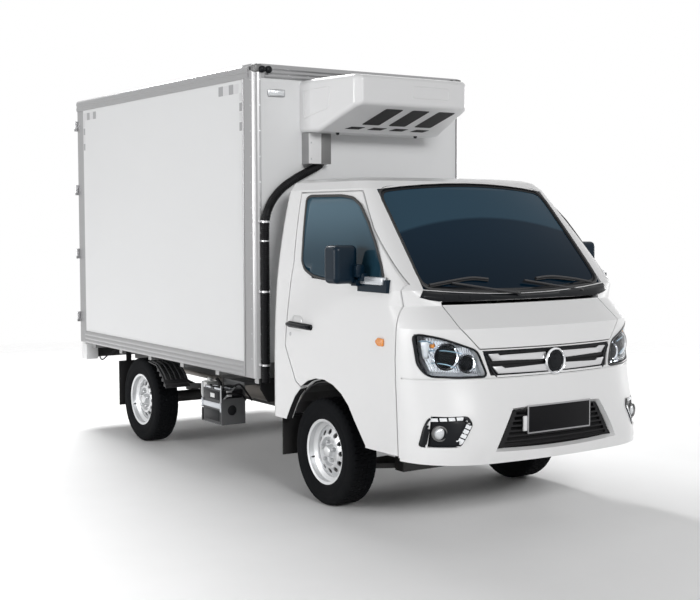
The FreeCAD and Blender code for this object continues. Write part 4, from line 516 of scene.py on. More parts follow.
def laid(surface, view, u, v, lift=0.0):
    """The point of a surface at a place in a flat view, raised off it, and the surface's normal."""
    start, along = sight(view, u, v)
    point, normal = surface.ray_cast(start, along)[:2]
    if point is None:
        nearest = surface.find_nearest(start + along * FAR * 0.7)[0]
        point = start + along * (nearest - start).dot(along)
        normal = -along
    if normal.dot(along) > 0:
        normal = -normal
    return point + normal * lift, normal


def trace(surface, view, places, lift=0.0):
    """A line of places in a flat view, laid on a surface."""
    return [laid(surface, view, u, v, lift)[0] for u, v in places]


def rounded(points, radius, steps=4):
    """An outline with its corners rounded."""
    result = []
    count = len(points)
    for index, corner in enumerate(points):
        here = Vector(corner)
        before = Vector(points[index - 1]) - here
        after = Vector(points[(index + 1) % count]) - here
        reach = min(radius, before.length * 0.45, after.length * 0.45)
        start = here + before.normalized() * reach
        end = here + after.normalized() * reach
        for t in (step / steps for step in range(steps + 1)):
            result.append(tuple(start * (1 - t) ** 2 + here * 2 * t * (1 - t) + end * t ** 2))
    return result


def inset(points, distance):
    """A closed outline moved in by a distance."""
    area = sum(p[0] * q[1] - q[0] * p[1] for p, q in zip(points, points[1:] + points[:1]))
    sign = 1 if area > 0 else -1
    result = []
    for index, corner in enumerate(points):
        here = Vector(corner)
        first = (here - Vector(points[index - 1])).normalized()
        second = (Vector(points[(index + 1) % len(points)]) - here).normalized()
        normals = [Vector((-d.y, d.x)) * sign for d in (first, second)]
        between = normals[0] + normals[1]
        if between.length < 1e-6:
            between = normals[0]
        between.normalize()
        stretch = max(between.dot(normals[0]), 0.4)
        result.append(tuple(here + between * distance / stretch))
    return result


def dense(points, pitch, closed=True):
    """An outline with points added so that none are further apart than the pitch."""
    result = []
    pairs = zip(points, points[1:] + points[:1]) if closed else zip(points, points[1:])
    for p, q in pairs:
        a, b = Vector(p), Vector(q)
        steps = max(1, int((b - a).length / pitch))
        result += [tuple(a.lerp(b, step / steps)) for step in range(steps)]
    return result if closed else result + [tuple(points[-1])]


def spread_out(steps):
    """Shares from -1 to 1 in even steps."""
    return [2.0 * step / steps - 1 for step in range(steps + 1)]


def smooth_line(points, steps=6):
    """A smooth line through some places."""
    places = [Vector(p) for p in points]
    places = [places[0]] + places + [places[-1]]
    result = []
    for a, b, c, d in zip(places, places[1:], places[2:], places[3:]):
        for t in (step / steps for step in range(steps)):
            result.append(0.5 * ((2 * b) + (c - a) * t + (2 * a - 5 * b + 4 * c - d) * t ** 2 + (
                    3 * b - a - 3 * c + d) * t ** 3))
    return result + [places[-1]]


def thickened(piece, thickness, bevel=0.0, offset=1.0):
    solid = piece.modifiers.new("thickness", "SOLIDIFY")
    solid.thickness = thickness
    solid.offset = offset
    if bevel:
        edge = piece.modifiers.new("soft_edge", "BEVEL")
        edge.width = bevel
        edge.segments = 2
        edge.angle_limit = math.radians(50)
    return piece


def draped(name, outline, surface, view, material, body="chassis", lift=0.0006, thick=0.002, pitch=0.04,
           bevel=0.0, smooth=40):
    """A sheet that follows a surface; its outline is drawn as seen from one side."""
    flat = bmesh.new()
    flat.faces.new([flat.verts.new((u, v, 0)) for u, v in outline])
    for axis, normal in enumerate(((1, 0, 0), (0, 1, 0))):
        low = min(p[axis] for p in outline)
        high = max(p[axis] for p in outline)
        steps = int((high - low) / pitch) + 1
        for step in range(1, steps):
            place = low + (high - low) * step / steps
            bmesh.ops.bisect_plane(flat, geom=flat.verts[:] + flat.edges[:] + flat.faces[:],
                    plane_co=(place, place, 0), plane_no=normal)
    for vert in flat.verts:
        vert.co = laid(surface, view, vert.co.x, vert.co.y, lift)[0]
    flat.normal_update()
    along = sight(view, 0, 0)[1]
    bmesh.ops.reverse_faces(flat, faces=[face for face in flat.faces if face.normal.dot(along) > 0])
    mesh = bpy.data.meshes.new(name)
    flat.to_mesh(mesh)
    flat.free()
    return thickened(add_piece(name, mesh, material, body, smooth), thick, bevel)


def band(name, outer, width, surface, view, material, body="chassis", lift=0.001, thick=0.003, pitch=0.04,
         rings=1):
    """A frame of even width inside a closed outline, laid on a surface."""
    outer = dense(outer, pitch)
    lines = [inset(outer, width * ring / rings) if ring else outer for ring in range(rings + 1)]
    verts = [point for line in lines for point in trace(surface, view, line, lift)]
    faces = quads(rings + 1, len(outer))
    a, b, c = (verts[i] for i in faces[0][:3])
    if (b - a).cross(c - a).dot(sight(view, 0, 0)[1]) > 0:
        faces = [face[::-1] for face in faces]
    return thickened(from_parts(name, verts, faces, material, body, 40), thick)


def bead(name, points, radius, material, body="chassis", closed=False):
    """A round bead, wire or pipe along a line."""
    curve = bpy.data.curves.new(name, "CURVE")
    curve.dimensions = "3D"
    curve.bevel_depth = radius
    curve.bevel_resolution = 2
    curve.use_fill_caps = True
    spline = curve.splines.new("POLY")
    spline.points.add(len(points) - 1)
    for point, place in zip(spline.points, points):
        point.co = (*place, 1.0)
    spline.use_cyclic_u = closed
    curve.materials.append(material)
    piece = bpy.data.objects.new(name, curve)
    bpy.context.scene.collection.objects.link(piece)
    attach(piece, body)
    return piece


class Form:
    """A mesh of several boxes and turned shapes, in one piece."""

    def __init__(self):
        self.mesh = bmesh.new()

    def box(self, low, high, bevel=0.0, turn=None):
        size = Vector(high) - Vector(low)
        centre = (Vector(high) + Vector(low)) / 2
        matrix = Matrix.Translation(centre) @ (turn or Matrix()) @ Matrix.Diagonal((*size, 1.0))
        made = bmesh.ops.create_cube(self.mesh, size=1.0, matrix=matrix)
        if bevel:
            edges = list(dict.fromkeys(edge for vert in made["verts"] for edge in vert.link_edges))
            bmesh.ops.bevel(self.mesh, geom=edges, offset=bevel, segments=2, affect="EDGES", profile=0.6)
        return self

    def side_box(self, side, low, high, bevel=0.0):
        """A box on one side of the truck; its y places are distances out from the middle."""
        inner, outer = sorted((side * low[1], side * high[1]))
        return self.box((low[0], inner, low[2]), (high[0], outer, high[2]), bevel)

    def turned(self, outline, origin, axis, sides=24):
        """A shape turned about an axis; the outline gives (distance along the axis, radius)."""
        along = Vector(axis).normalized()
        across = along.orthogonal().normalized()
        third = along.cross(across)
        rings = []
        for reach, radius in outline:
            centre = Vector(origin) + along * reach
            turns = [2 * math.pi * i / sides for i in range(sides)] if radius > 1e-6 else [0.0]
            rings.append([self.mesh.verts.new(centre + (across * math.cos(t) + third * math.sin(
                    t)) * radius) for t in turns])
        for low, high in zip(rings, rings[1:]):
            for i in range(sides):
                j = (i + 1) % sides
                corners = [low[i % len(low)], low[j % len(low)], high[j % len(high)], high[i % len(high)]]
                corners = list(dict.fromkeys(corners))
                if len(corners) > 2:
                    self.mesh.faces.new(corners)
        for ring in (rings[0], rings[-1]):
            if len(ring) > 2:
                self.mesh.faces.new(ring)
        return self

    def done(self, name, material, body="chassis", slot=None, smooth=35):
        bmesh.ops.recalc_face_normals(self.mesh, faces=self.mesh.faces[:])
        mesh = bpy.data.meshes.new(name)
        self.mesh.to_mesh(mesh)
        self.mesh.free()
        return add_piece(name, mesh, material, body, smooth)


def rivets(name, places, radius, slot=None):
    """Domed rivet heads; each place is a point and the direction it faces."""
    form = Form()
    for point, facing in places:
        form.turned([(0.0, radius), (radius * 0.35, radius * 0.8), (radius * 0.55, 0.0)], point, facing, 8)
    form.done(name, rivet_metal, slot=slot)


# Cab front

FRONT = surface_of("cab_shell", "hood", "front_bumper", "grilles", "front_lamps", "cab_glass")
GLASS = surface_of("cab_glass")


def arched(half, edge, middle):
    """Places across the truck whose height bends from the edge's to the middle's."""
    return [(half * share, middle + (edge - middle) * share * share) for share in spread_out(8)]


def make_screen_trim():
    """Rubber seal and printed edge of the windscreen, and the black cowl in front of it."""
    shell = surface_of("cab_shell")
    outline = rounded(arched(0.645, 1.266, 1.232) + arched(-0.603, 1.796, 1.836), 0.07)
    band("screen_edge", inset(outline, 0.002), 0.020, GLASS, "front", gloss_black, thick=0.002)
    seal = trace(GLASS, "front", dense(inset(outline, 0.001), 0.03), 0.004)
    bead("screen_seal", seal, 0.009, rubber, closed=True)
    shares = spread_out(28)
    lip = 1.2035
    upper = [(0.650 * share, 1.227 + 0.034 * share * share) for share in shares]
    lower = [(0.676 * share, max(lip, 1.170 + 0.056 * share ** 4)) for share in reversed(shares)]
    draped("cowl_panel", upper + lower, shell, "front", gloss_black, lift=0.001, thick=0.003, pitch=0.03)
    line = trace(shell, "front", [(0.560 * share, lip + 0.001) for share in shares], -0.001)
    bead("cowl_lip_bead", line, 0.0045, gloss_black)


WIPER_LINES = (((-0.594, 1.279), (-0.447, 1.296), (-0.308, 1.309), (-0.200, 1.300)),
        ((0.140, 1.296), (0.262, 1.302), (0.420, 1.286), (0.560, 1.262)))


def make_wiper_blades():
    """Rubber blades with their spines along the foot of the windscreen."""
    for number, places in enumerate(WIPER_LINES):
        for label, drop, lift, radius, material in (("spine", 0.0, 0.013, 0.007, plastic_black),
                                                    ("rubber", 0.006, 0.006, 0.004, rubber)):
            line = trace(GLASS, "front", [(y, z - drop) for y, z in places], lift)
            bead("wiper_%s_%d" % (label, number), smooth_line(line), radius, material)


WINDOW = [(-0.279, 1.755), (-0.238, 1.773), (0.096, 1.770), (0.212, 1.756), (0.301, 1.715), (0.400, 1.626),
        (0.503, 1.507), (0.582, 1.390), (0.619, 1.313), (0.620, 1.269), (0.499, 1.272), (0.172, 1.285),
        (0.010, 1.290), (-0.101, 1.306), (-0.182, 1.337), (-0.226, 1.389), (-0.238, 1.482), (-0.260, 1.627)]


def window_skin(side):
    """The door's outer skin carried on across the window opening, as a surface to lay the pane on."""
    half_at_middle, lean, bulge, middle = 0.7471, 0.1714, 0.1222, 1.5
    start, pitch, rows = 1.20, 0.02, 32
    verts = []
    for z in (start + pitch * row for row in range(rows)):
        rise = z - middle
        half = half_at_middle - lean * rise - bulge * rise * rise
        verts += [Vector((ahead(x), side * half, z)) for x in (-0.40, 0.80)]
    return BVHTree.FromPolygons(verts, [[2 * row, 2 * row + 1, 2 * row + 3, 2 * row + 2]
                                        for row in range(rows - 1)])


def make_door_windows():
    """Flush pane in each door, in its rubber seal."""
    outline = rounded(all_ahead(WINDOW), 0.018, 2)
    for hand, side in SIDES:
        skin, body = window_skin(side), "cab_door_" + hand
        pane = draped("window_pane_" + hand, inset(outline, 0.006), skin, hand, door_tint_and_reflection, body,
                lift=0.0008, thick=0.001, pitch=0.06)
        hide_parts("door_glass_" + hand)
        band("window_seal_" + hand, outline, 0.015, skin, hand, rubber, body, thick=0.004, pitch=0.03)


FOOT_COVER = (((0.405, 0.782, 1.286), (0.640, 0.812, 1.328), 0.009),)
MIRROR_ARM = (((0.395, 0.800, 1.322), (0.470, 0.852, 1.392), 0.012),
        ((0.385, 0.788, 1.300), (0.480, 0.826, 1.345), 0.010))


def make_mirror_trim():
    """Arm and silver cover of each mirror's foot, and the mirror glass on the housing's rear face."""
    for hand, side in SIDES:
        body = "cab_door_" + hand
        for name, blocks, material, slot in (("mirror_foot_cover_", FOOT_COVER, silver_cover, None),
                                             ("mirror_arm_", MIRROR_ARM, mirror_black, "black_plastic")):
            form = Form()
            for low, high, bevel in blocks:
                form.side_box(side, (ahead(low[0]), *low[1:]), (ahead(high[0]), *high[1:]), bevel)
            form.done(name + hand, material, body, slot)
        low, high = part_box("mirror_" + hand)
        outer = max(abs(low.y), abs(high.y))
        glass = Form().side_box(side, (low.x - 0.0025, outer - 0.129, 1.312),
                (low.x + 0.003, outer - 0.017, 1.468), 0.0015)
        glass.done("mirror_glass_" + hand, mirror_face, body, "black_plastic")


HANDLE_CUP = rounded(all_ahead([(-0.29, 0.985), (-0.17, 0.985), (-0.17, 1.075), (-0.29, 1.075)]), 0.04)
HANDLE_BASE = rounded(all_ahead([(-0.325, 1.002), (-0.065, 0.998), (-0.062, 1.032), (-0.322, 1.038)]),
        0.016)
HANDLE_GRIP = ((-0.315, 1.020, 0.012), (-0.29, 1.021, 0.030), (-0.20, 1.019, 0.034), (-0.11, 1.016, 0.030),
               (-0.085, 1.015, 0.012))  # distance ahead, height and distance off the door
REPEATER = rounded(all_ahead([(0.565, 0.988), (0.590, 0.966), (0.640, 0.966), (0.640, 1.006),
        (0.590, 1.010)]), 0.010)


def make_door_handles():
    """Pull handle in its dished surround, the lock under it, and the amber repeater on the front panel."""
    for hand, side in SIDES:
        skin, body = surface_of("door_panel_" + hand, "cab_shell"), "cab_door_" + hand
        draped("handle_cup_" + hand, HANDLE_CUP, skin, hand, cab_paint, body, lift=0.0004, thick=0.001)
        draped("handle_base_" + hand, HANDLE_BASE, skin, hand, gloss_black, body, lift=0.001, thick=0.010,
                bevel=0.003)
        grip = [laid(skin, hand, ahead(x), z, lift)[0] for x, z, lift in HANDLE_GRIP]
        bead("handle_grip_" + hand, smooth_line(grip, 5), 0.011, gloss_black, body)
        lock, facing = laid(skin, hand, ahead(-0.305), 0.962)
        Form().turned([(0, 0.011), (0.003, 0.010), (0.003, 0.004), (0.001, 0.0)], lock, facing,
                16).done("door_lock_" + hand, gear_steel, body)
        draped("repeater_lens_" + hand, REPEATER, skin, hand, amber, body, lift=0.002, thick=0.008,
                bevel=0.002)


LAMP_OUTLINE = [(0.756, 1.046), (0.660, 1.024), (0.482, 0.957), (0.434, 0.826), (0.580, 0.826),
        (0.714, 0.832), (0.745, 0.884)]
MARKER_OUTLINE = [(0.738, 1.016), (0.704, 1.006), (0.712, 0.915), (0.730, 0.918)]
BOWLS = (("main", 0.630, 0.928, 0.064, 0.050), ("inner", 0.530, 0.892, 0.044, 0.036))
FINS = ((0.706, 0.962, 0.560, 0.944), (0.700, 0.900, 0.590, 0.872), (0.742, 1.008, 0.690, 0.996))


def make_lamp_bowl(label, centre, forward, radius, depth):
    """A deep mirror bowl in its black ring, with the bulb's shade in the middle."""
    bowl = [(-depth * (1 - (r / 6) ** 2), radius * r / 6) for r in range(7)]
    bowl += [(-0.006, radius * 1.02), (-0.012, radius * 1.02)]
    Form().turned(bowl, centre, forward, 16).done("headlamp_bowl_" + label, chrome, smooth=16)
    ring = [(-0.008, 1.02), (-0.001, 1.02), (-0.001, 1.08), (-0.008, 1.08), (-0.008, 1.02)]
    Form().turned([(reach, radius * share) for reach, share in ring], centre, forward,
            28).done("headlamp_ring_" + label, gloss_black)
    bulb = [(-0.9, 0.22), (-0.45, 0.24), (-0.3, 0.16), (-0.25, 0.0)]
    Form().turned([(depth * reach, radius * share) for reach, share in bulb], centre, forward,
            16).done("headlamp_shade_" + label, shade_grey)


def make_headlamps():
    """Clear lens over a fluted reflector, two deep bowls, bulb shades, thin fins and an amber corner."""
    shell = surface_of("front_lamps")
    for hand, side in SIDES:
        soft = rounded(on_side(side, LAMP_OUTLINE), 0.03)
        band("headlamp_rim_" + hand, inset(soft, -0.007), 0.011, FRONT, "front", gloss_black)
        draped("headlamp_back_" + hand, inset(soft, 0.004), shell, "front", fluted_chrome, lift=-0.040,
                smooth=60)
        forward = Vector((1, side * 0.25, 0)).normalized()
        for label, y, z, radius, depth in BOWLS:
            centre = laid(shell, "front", side * y, z, -0.010)[0]
            make_lamp_bowl("%s_%s" % (label, hand), centre, forward, radius, depth)
        for number, (y0, z0, y1, z1) in enumerate(FINS):
            places = [(side * (y0 + (y1 - y0) * t), z0 + (z1 - z0) * t + 0.008 * math.sin(3 * t)) for t in (
                    0.0, 0.25, 0.5, 0.75, 1.0)]
            bead("headlamp_fin_%s_%d" % (hand, number), trace(shell, "front", places, -0.007), 0.0028,
                    lamp_blue)
        draped("headlamp_marker_" + hand, rounded(on_side(side, MARKER_OUTLINE), 0.010), shell, "front",
                clear_lamp, lift=-0.014, thick=0.004)
        corner = laid(shell, "front", side * 0.692, 0.985, -0.016)[0]
        Form().turned([(-0.010, 0.012), (0.004, 0.011), (0.010, 0.006), (0.011, 0.0)], corner, forward,
                14).done("headlamp_amber_" + hand, amber)
        draped("headlamp_lens_" + hand, inset(soft, 0.002), shell, "front", clear_lens,
                lift=-0.0015, thick=0.0015, pitch=0.03)
    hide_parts("front_lamps")


FOG_HOLE = [(0.720, 0.632), (0.600, 0.630), (0.560, 0.597), (0.620, 0.477), (0.740, 0.474)]
FOG_OUTLINE = [(0.729, 0.626), (0.566, 0.634), (0.545, 0.592), (0.614, 0.480), (0.764, 0.473),
        (0.748, 0.572)]
FOG_ROWS = (((0.722, 0.612), (0.584, 0.620), 0.017), ((0.562, 0.590), (0.616, 0.500), 0.020))
FOG_ROW_LIGHTS = 4


def make_fog_lamps():
    """Black bezel with a round lamp, and two rows of white light squares along its top and inner edge."""
    shell, bumper = surface_of("front_lamps", "front_bumper"), surface_of("front_bumper")
    for hand, side in SIDES:
        hole = rounded(on_side(side, FOG_HOLE), 0.022)
        outline = rounded(on_side(side, FOG_OUTLINE), 0.018)
        draped("fog_bezel_" + hand, inset(hole, 0.001), shell, "front", gloss_black, lift=-0.016,
                thick=0.012, bevel=0.003)
        band("fog_rim_" + hand, outline, 0.032, bumper, "front", gloss_black, lift=0.002, pitch=0.012,
                rings=5)
        for row, (start, end, wide) in enumerate(FOG_ROWS):
            a, b = (Vector(place) for place in on_side(side, (start, end)))
            along = (b - a).normalized()
            across = Vector((-along.y, along.x))
            reach = (b - a).length / FOG_ROW_LIGHTS * 0.40
            for number in range(FOG_ROW_LIGHTS):
                middle = a.lerp(b, (number + 0.5) / FOG_ROW_LIGHTS)
                corners = [tuple(middle + along * u * reach + across * v * wide / 2) for u,
                        v in ((-1, -1), (1, -1), (1, 1), (-1, 1))]
                draped("fog_light_%s_%d_%d" % (hand, row, number), corners, FRONT, "front", lamp_white,
                        lift=0.005, thick=0.003, bevel=0.001, pitch=0.02)
        centre = laid(shell, "front", side * 0.690, 0.545, 0.002)[0]
        forward = Vector((1, side * 0.35, 0)).normalized()
        for name, outline, material in (
                ("fog_ring_", [(-0.014, 0.040), (0.006, 0.040), (0.008, 0.036), (-0.002, 0.031)],
                 shade_grey),
                ("fog_lamp_", [(-0.006, 0.031), (0.000, 0.028), (0.005, 0.018), (0.007, 0.0)], clear_lamp)):
            Form().turned(outline, centre, forward).done(name + hand, material, smooth=50)


GRILLE_SURROUND = [(-0.455, 0.950), (0.455, 0.950), (0.385, 0.815), (-0.385, 0.815)]
GRILLE_BARS = ((0.912, 0.920, 0.418), (0.852, 0.854, 0.398))  # inner height, outer height and reach
BAR_HEIGHT = 0.038
MOUTH = [(-0.375, 0.470), (0.375, 0.470), (0.292, 0.636), (-0.292, 0.636)]
BADGE_RING = [(0.0, 0.057), (0.009, 0.058), (0.013, 0.064), (0.009, 0.070), (0.0, 0.071), (0.0, 0.057)]
BADGE_FACE = [(-0.012, 0.058), (0.003, 0.058), (0.005, 0.050), (0.003, 0.048), (0.003, 0.040),
        (0.006, 0.038), (0.008, 0.020), (0.008, 0.0)]


def make_grille_trim():
    """Surround, two stepped silver bars a side, a plain ring badge, and the back and duct of the mouth."""
    band("grille_surround", rounded(GRILLE_SURROUND, 0.02), 0.016, FRONT, "front", gloss_black, lift=-0.001,
            thick=0.005)
    for hand, side in SIDES:
        for number, (z_in, z_out, reach) in enumerate(GRILLE_BARS):
            outline = on_side(side, [(0.052, z_in - BAR_HEIGHT / 2),
                    (reach - 0.030, z_out - BAR_HEIGHT / 2), (reach, z_out + BAR_HEIGHT / 2),
                    (reach - 0.055, z_out + BAR_HEIGHT / 2), (reach - 0.075, z_out + BAR_HEIGHT * 0.2),
                    (0.052, z_in + BAR_HEIGHT / 2)])
            draped("grille_bar_%s_%d" % (hand, number), outline, FRONT, "front", bar_silver, lift=-0.002,
                    thick=0.012, bevel=0.003, pitch=0.05)
    centre, facing = laid(FRONT, "front", 0.0, 0.882, 0.002)
    Form().turned(BADGE_RING, centre, facing, 48).done("badge_ring", chrome, smooth=60)
    Form().turned(BADGE_FACE, centre, facing, 48).done("badge_face", gloss_black, smooth=40)
    draped("lower_grille_back", MOUTH, surface_of("grilles"), "front", mesh_black, lift=-0.014, thick=0.004,
            pitch=0.03)
    Form().box((2.215, -0.42, 0.405), (2.312, 0.42, 0.478), 0.004).done("lower_duct", mesh_black,
            slot="black_plastic")


def make_plate():
    """Plain number plate in its silver rim, left blank, with the light bracket that shows beside it."""
    x = laid(surface_of("grilles"), "front", 0.15, 0.53)[0].x
    half, low, high, rim = 0.220, 0.522, 0.663, 0.004
    Form().box((x - 0.004, -half - rim, low - rim), (x + 0.002, half + rim, high + rim),
            0.0015).done("plate_rim", plate_rim)
    Form().box((x + 0.001, -half + rim, low + rim), (x + 0.003, half - rim, high - rim),
            0.0008).done("plate_face", plate_black)
    Form().box((x - 0.012, -half - 0.028, low + 0.012), (x - 0.003, -half + 0.03, high - 0.05),
            0.004).done("plate_bracket", unit_white)


# Cold box

BOX_LOW, BOX_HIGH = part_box("box_rails")
HALF = BOX_HIGH.y
ALUMINIUM_SLOT = "rail_aluminium"


def make_box_rivets():
    """Rivets along the rails and posts, on the sides and the front."""
    skin = surface_of("box_rails", "box_walls", "box_front_panel", "rear_frame")
    rail_pitch, post_pitch, post_count = 0.15, 0.155, 12
    posts = [BOX_LOW.z + 0.12 + post_pitch * i for i in range(post_count)]
    rail_count = int((BOX_HIGH.x - BOX_LOW.x - 0.2) / rail_pitch)
    side_places = []
    for hand, side in SIDES:
        for z in (BOX_LOW.z + 0.012, BOX_LOW.z + 0.086, BOX_HIGH.z - 0.075):
            side_places += [laid(skin, hand, BOX_LOW.x + 0.1 + rail_pitch * i,
                    z) for i in range(rail_count)]
        for z in posts:
            side_places += [laid(skin, hand, BOX_HIGH.x - inward, z) for inward in (0.145, 0.050)]
    front_places = [laid(skin, "front", side * (HALF - 0.038), z) for side in (-1, 1) for z in posts]
    front_places += [laid(skin, "front", -0.70 + 0.14 * i, BOX_HIGH.z - 0.060) for i in range(11)]
    rivets("box_side_rivets", side_places, 0.0055, ALUMINIUM_SLOT)
    rivets("box_front_rivets", front_places, 0.0055, ALUMINIUM_SLOT)


def make_tapes():
    """Reflective tape in short grey and white lengths at the upper corners of the sides."""
    skin = surface_of("box_walls", "box_rails")
    tiles = {tape_grey: [], tape_white: []}
    front, back = BOX_HIGH.x - 0.152, BOX_LOW.x + 0.120
    top, half_thick = BOX_HIGH.z - 0.084, 0.0006
    for hand, side in SIDES:
        for i in range(4):
            for row, (x, z, wide, high) in enumerate((
                    (front - 0.085 - 0.068 * i, top - 0.050, 0.060, 0.060),
                    (front - 0.030, top - 0.045 - 0.060 * (i + 1), 0.034, 0.052),
                    (back + 0.045 + 0.062 * i, top - 0.050, 0.056, 0.055),
                    (back + 0.022, top - 0.045 - 0.060 * (i + 1), 0.030, 0.052))):
                number = 4 * i + row
                tiles[tape_grey if number // 4 % 2 else tape_white].append((hand, x, z, wide / 2, high / 2))
    for material, listed in tiles.items():
        form = Form()
        for hand, x, z, wide, high in listed:
            y = laid(skin, hand, x, z)[0].y
            form.box((x - wide, y - half_thick, z - high), (x + wide, y + half_thick, z + high))
        form.done(material.name + "_lengths", material, slot="panel_white")


def make_box_lamps():
    """Clear marker lamps on the front wall, and the dark caps and twin lamps at the top front corners."""
    wall, face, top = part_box("box_front_panel")[1].x, BOX_HIGH.x, BOX_HIGH.z
    out, z = 0.648, top - 0.172
    for hand, side in SIDES:
        Form().side_box(side, (wall - 0.001, out - 0.060, z - 0.022),
                (wall + 0.010, out + 0.060, z + 0.022), 0.009).done("front_marker_base_" + hand,
                rivet_metal)
        Form().side_box(side, (wall + 0.006, out - 0.052, z - 0.015),
                (wall + 0.015, out + 0.052, z + 0.015), 0.005).done("front_marker_lens_" + hand, clear_lamp)
        Form().side_box(side, (face - 0.075, HALF - 0.060, top - 0.052), (face + 0.003, HALF, top - 0.001),
                0.014).done("corner_cap_" + hand, shade_grey, smooth=60)
        lamp = Form()
        for inward, radius in ((0.050, 0.021), (0.094, 0.023)):
            lamp.turned([(-0.004, radius), (0.016, radius), (0.024, radius * 0.75), (0.026, 0.0)],
                    (face, side * (HALF - inward), top - 0.034), (1, 0, 0), 18)
        lamp.done("corner_lamp_" + hand, gloss_black, smooth=50)


def ribbed_cover(name, edges, start, end, place, bulge):
    """A length of extruded cover with a row of rounded ribs, between the heights given."""
    steps, sunk, proud = 6, -0.002, 0.001
    profile = []
    for low, high in zip(edges, edges[1:]):
        profile += [(low + (high - low) * step / steps, proud + bulge * math.sin(
                math.pi * step / steps)) for step in range(steps + 1)]
    profile += [(edges[-1], sunk), (edges[0], sunk)]
    first, second = ([place(u, z, out) for z, out in profile] for u in (start, end))
    prism(name, first, second, rail_metal, ALUMINIUM_SLOT, 50, -1)


def make_rail_ribs():
    """Rounded ribs of the extruded rails and of the front corner posts."""
    front, back, top, low = BOX_HIGH.x - 0.142, BOX_LOW.x + 0.010, BOX_HIGH.z, BOX_LOW.z
    for hand, side in SIDES:
        def beside(x, z, out, side=side):
            return (x, side * (HALF + out), z)

        ribbed_cover("top_rail_ribs_" + hand, (top - 0.083, top - 0.047, top - 0.010), back,
                BOX_HIGH.x - 0.075, beside, 0.006)
        ribbed_cover("skirt_rail_ribs_" + hand, (low + 0.002, low + 0.030, low + 0.060, low + 0.093),
                back + 0.110, front, beside, 0.005)
        line = [beside(front + 0.004, z, 0.001) for z in (low + 0.004, top - 0.084)]
        bead("post_edge_" + hand, line, 0.005, rail_metal)

    def before(y, z, out):
        return (BOX_HIGH.x + out, y, z)

    ribbed_cover("front_rail_ribs", (top - 0.083, top - 0.058, top - 0.034, top - 0.010), -0.730, 0.730,
            before, 0.005)


UNIT_PANEL = rounded([(-0.02, 2.36), (0.26, 2.36), (0.26, 2.43), (-0.02, 2.43)], 0.02)
UNIT_SIDE_PANEL = rounded(all_ahead([(-0.66, 2.25), (-0.42, 2.30), (-0.40, 2.43), (-0.66, 2.42)]), 0.02)
UNDERSIDE_OUT = Vector((0.4, 0, -0.9)).normalized()


def make_unit_details():
    """Vents in the sloped underside as black sheets of painted shade, shallow panels, and the two drain
    knobs of the cooling unit.
    """
    skin = surface_of("cooling_unit")
    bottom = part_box("cooling_unit")[0].z
    back, front = ahead(-0.49), ahead(-0.20)

    def vent(name, corners):
        """A black sheet on the sloped underside, painted shade that stands for an opening."""
        points = [skin.ray_cast(Vector((x, y, bottom - 1.0)), Vector((0, 0, 1)))[0] for x, y in corners]
        inner, outer = ([point + UNDERSIDE_OUT * lift for point in points] for lift in (0.0004, 0.0016))
        prism(name, inner, outer, vent_painted_shade, "black_plastic")

    for number in range(4):
        y = -0.30 + 0.165 * number
        vent("unit_low_slot_%d" % number, [(back + 0.022, y), (back + 0.022, y + 0.10),
                (back + 0.052, y + 0.13), (back + 0.052, y + 0.03)])
    for number in range(3):
        y = -0.22 + 0.20 * number
        vent("unit_vent_%d" % number, rounded([(back + 0.085, y), (back + 0.085, y + 0.13),
                (front, y + 0.17), (front, y + 0.04)], 0.012, 3))
    bead("unit_front_panel_line", trace(skin, "front", dense(UNIT_PANEL, 0.03), 0.0005), 0.0022, unit_white,
            closed=True)
    for hand, side in SIDES:
        bead("unit_side_panel_line_" + hand, trace(skin, hand, dense(UNIT_SIDE_PANEL, 0.03), 0.0005), 0.002,
                unit_white, closed=True)
    knobs = Form()
    for y in (-0.30, 0.30):
        knobs.turned([(0.0, 0.012), (0.012, 0.011), (0.016, 0.0)], (back - 0.06, y, bottom), (0, 0, -1), 12)
    knobs.done("unit_knobs", gloss_black)


def make_cover_trim():
    """White screwed flange of the cover over the cooling lines, and its side face in grey as painted shade.
    """
    low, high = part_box("line_cover")
    x, split = high.x, low.y + 0.092
    Form().box((x - 0.001, low.y + 0.002, low.z + 0.002), (x + 0.003, split, high.z - 0.004),
            0.001).done("cover_flange", unit_white)
    # The side face's grey is painted shade on the white cover.
    Form().box((x - 0.001, split + 0.001, low.z + 0.002), (x + 0.004, high.y - 0.001, high.z - 0.004),
            0.001).done("cover_face", shade_grey)
    rivets("cover_screws", [(Vector((x + 0.003, low.y + 0.018, low.z + up)),
            Vector((1, 0, 0))) for up in (0.03, 0.13)], 0.006)


SLEEVE_LINE = [(-0.352, 1.990), (-0.360, 1.968), (-0.441, 1.928), (-0.538, 1.880), (-0.622, 1.826),
        (-0.684, 1.765), (-0.724, 1.700), (-0.744, 1.636), (-0.750, 1.560), (-0.750, 1.384),
        (-0.750, 1.140), (-0.750, 0.833), (-0.750, 0.629)]
SLEEVE_RADII = (0.0265, 0.0265, 0.0235)
CLIP_RADIUS = 0.0275


def sleeve_route():
    """The cooling sleeve's centre line: out of the cover, slanting over the wall and down its corner."""
    low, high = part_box("cooling_hose")
    middle = (low.x + high.x) / 2 + 0.001
    line = smooth_line([(middle, y, z) for y, z in SLEEVE_LINE], 10)
    return [Vector(p) for p in dense([tuple(p) for p in line], 0.0035, closed=False)]


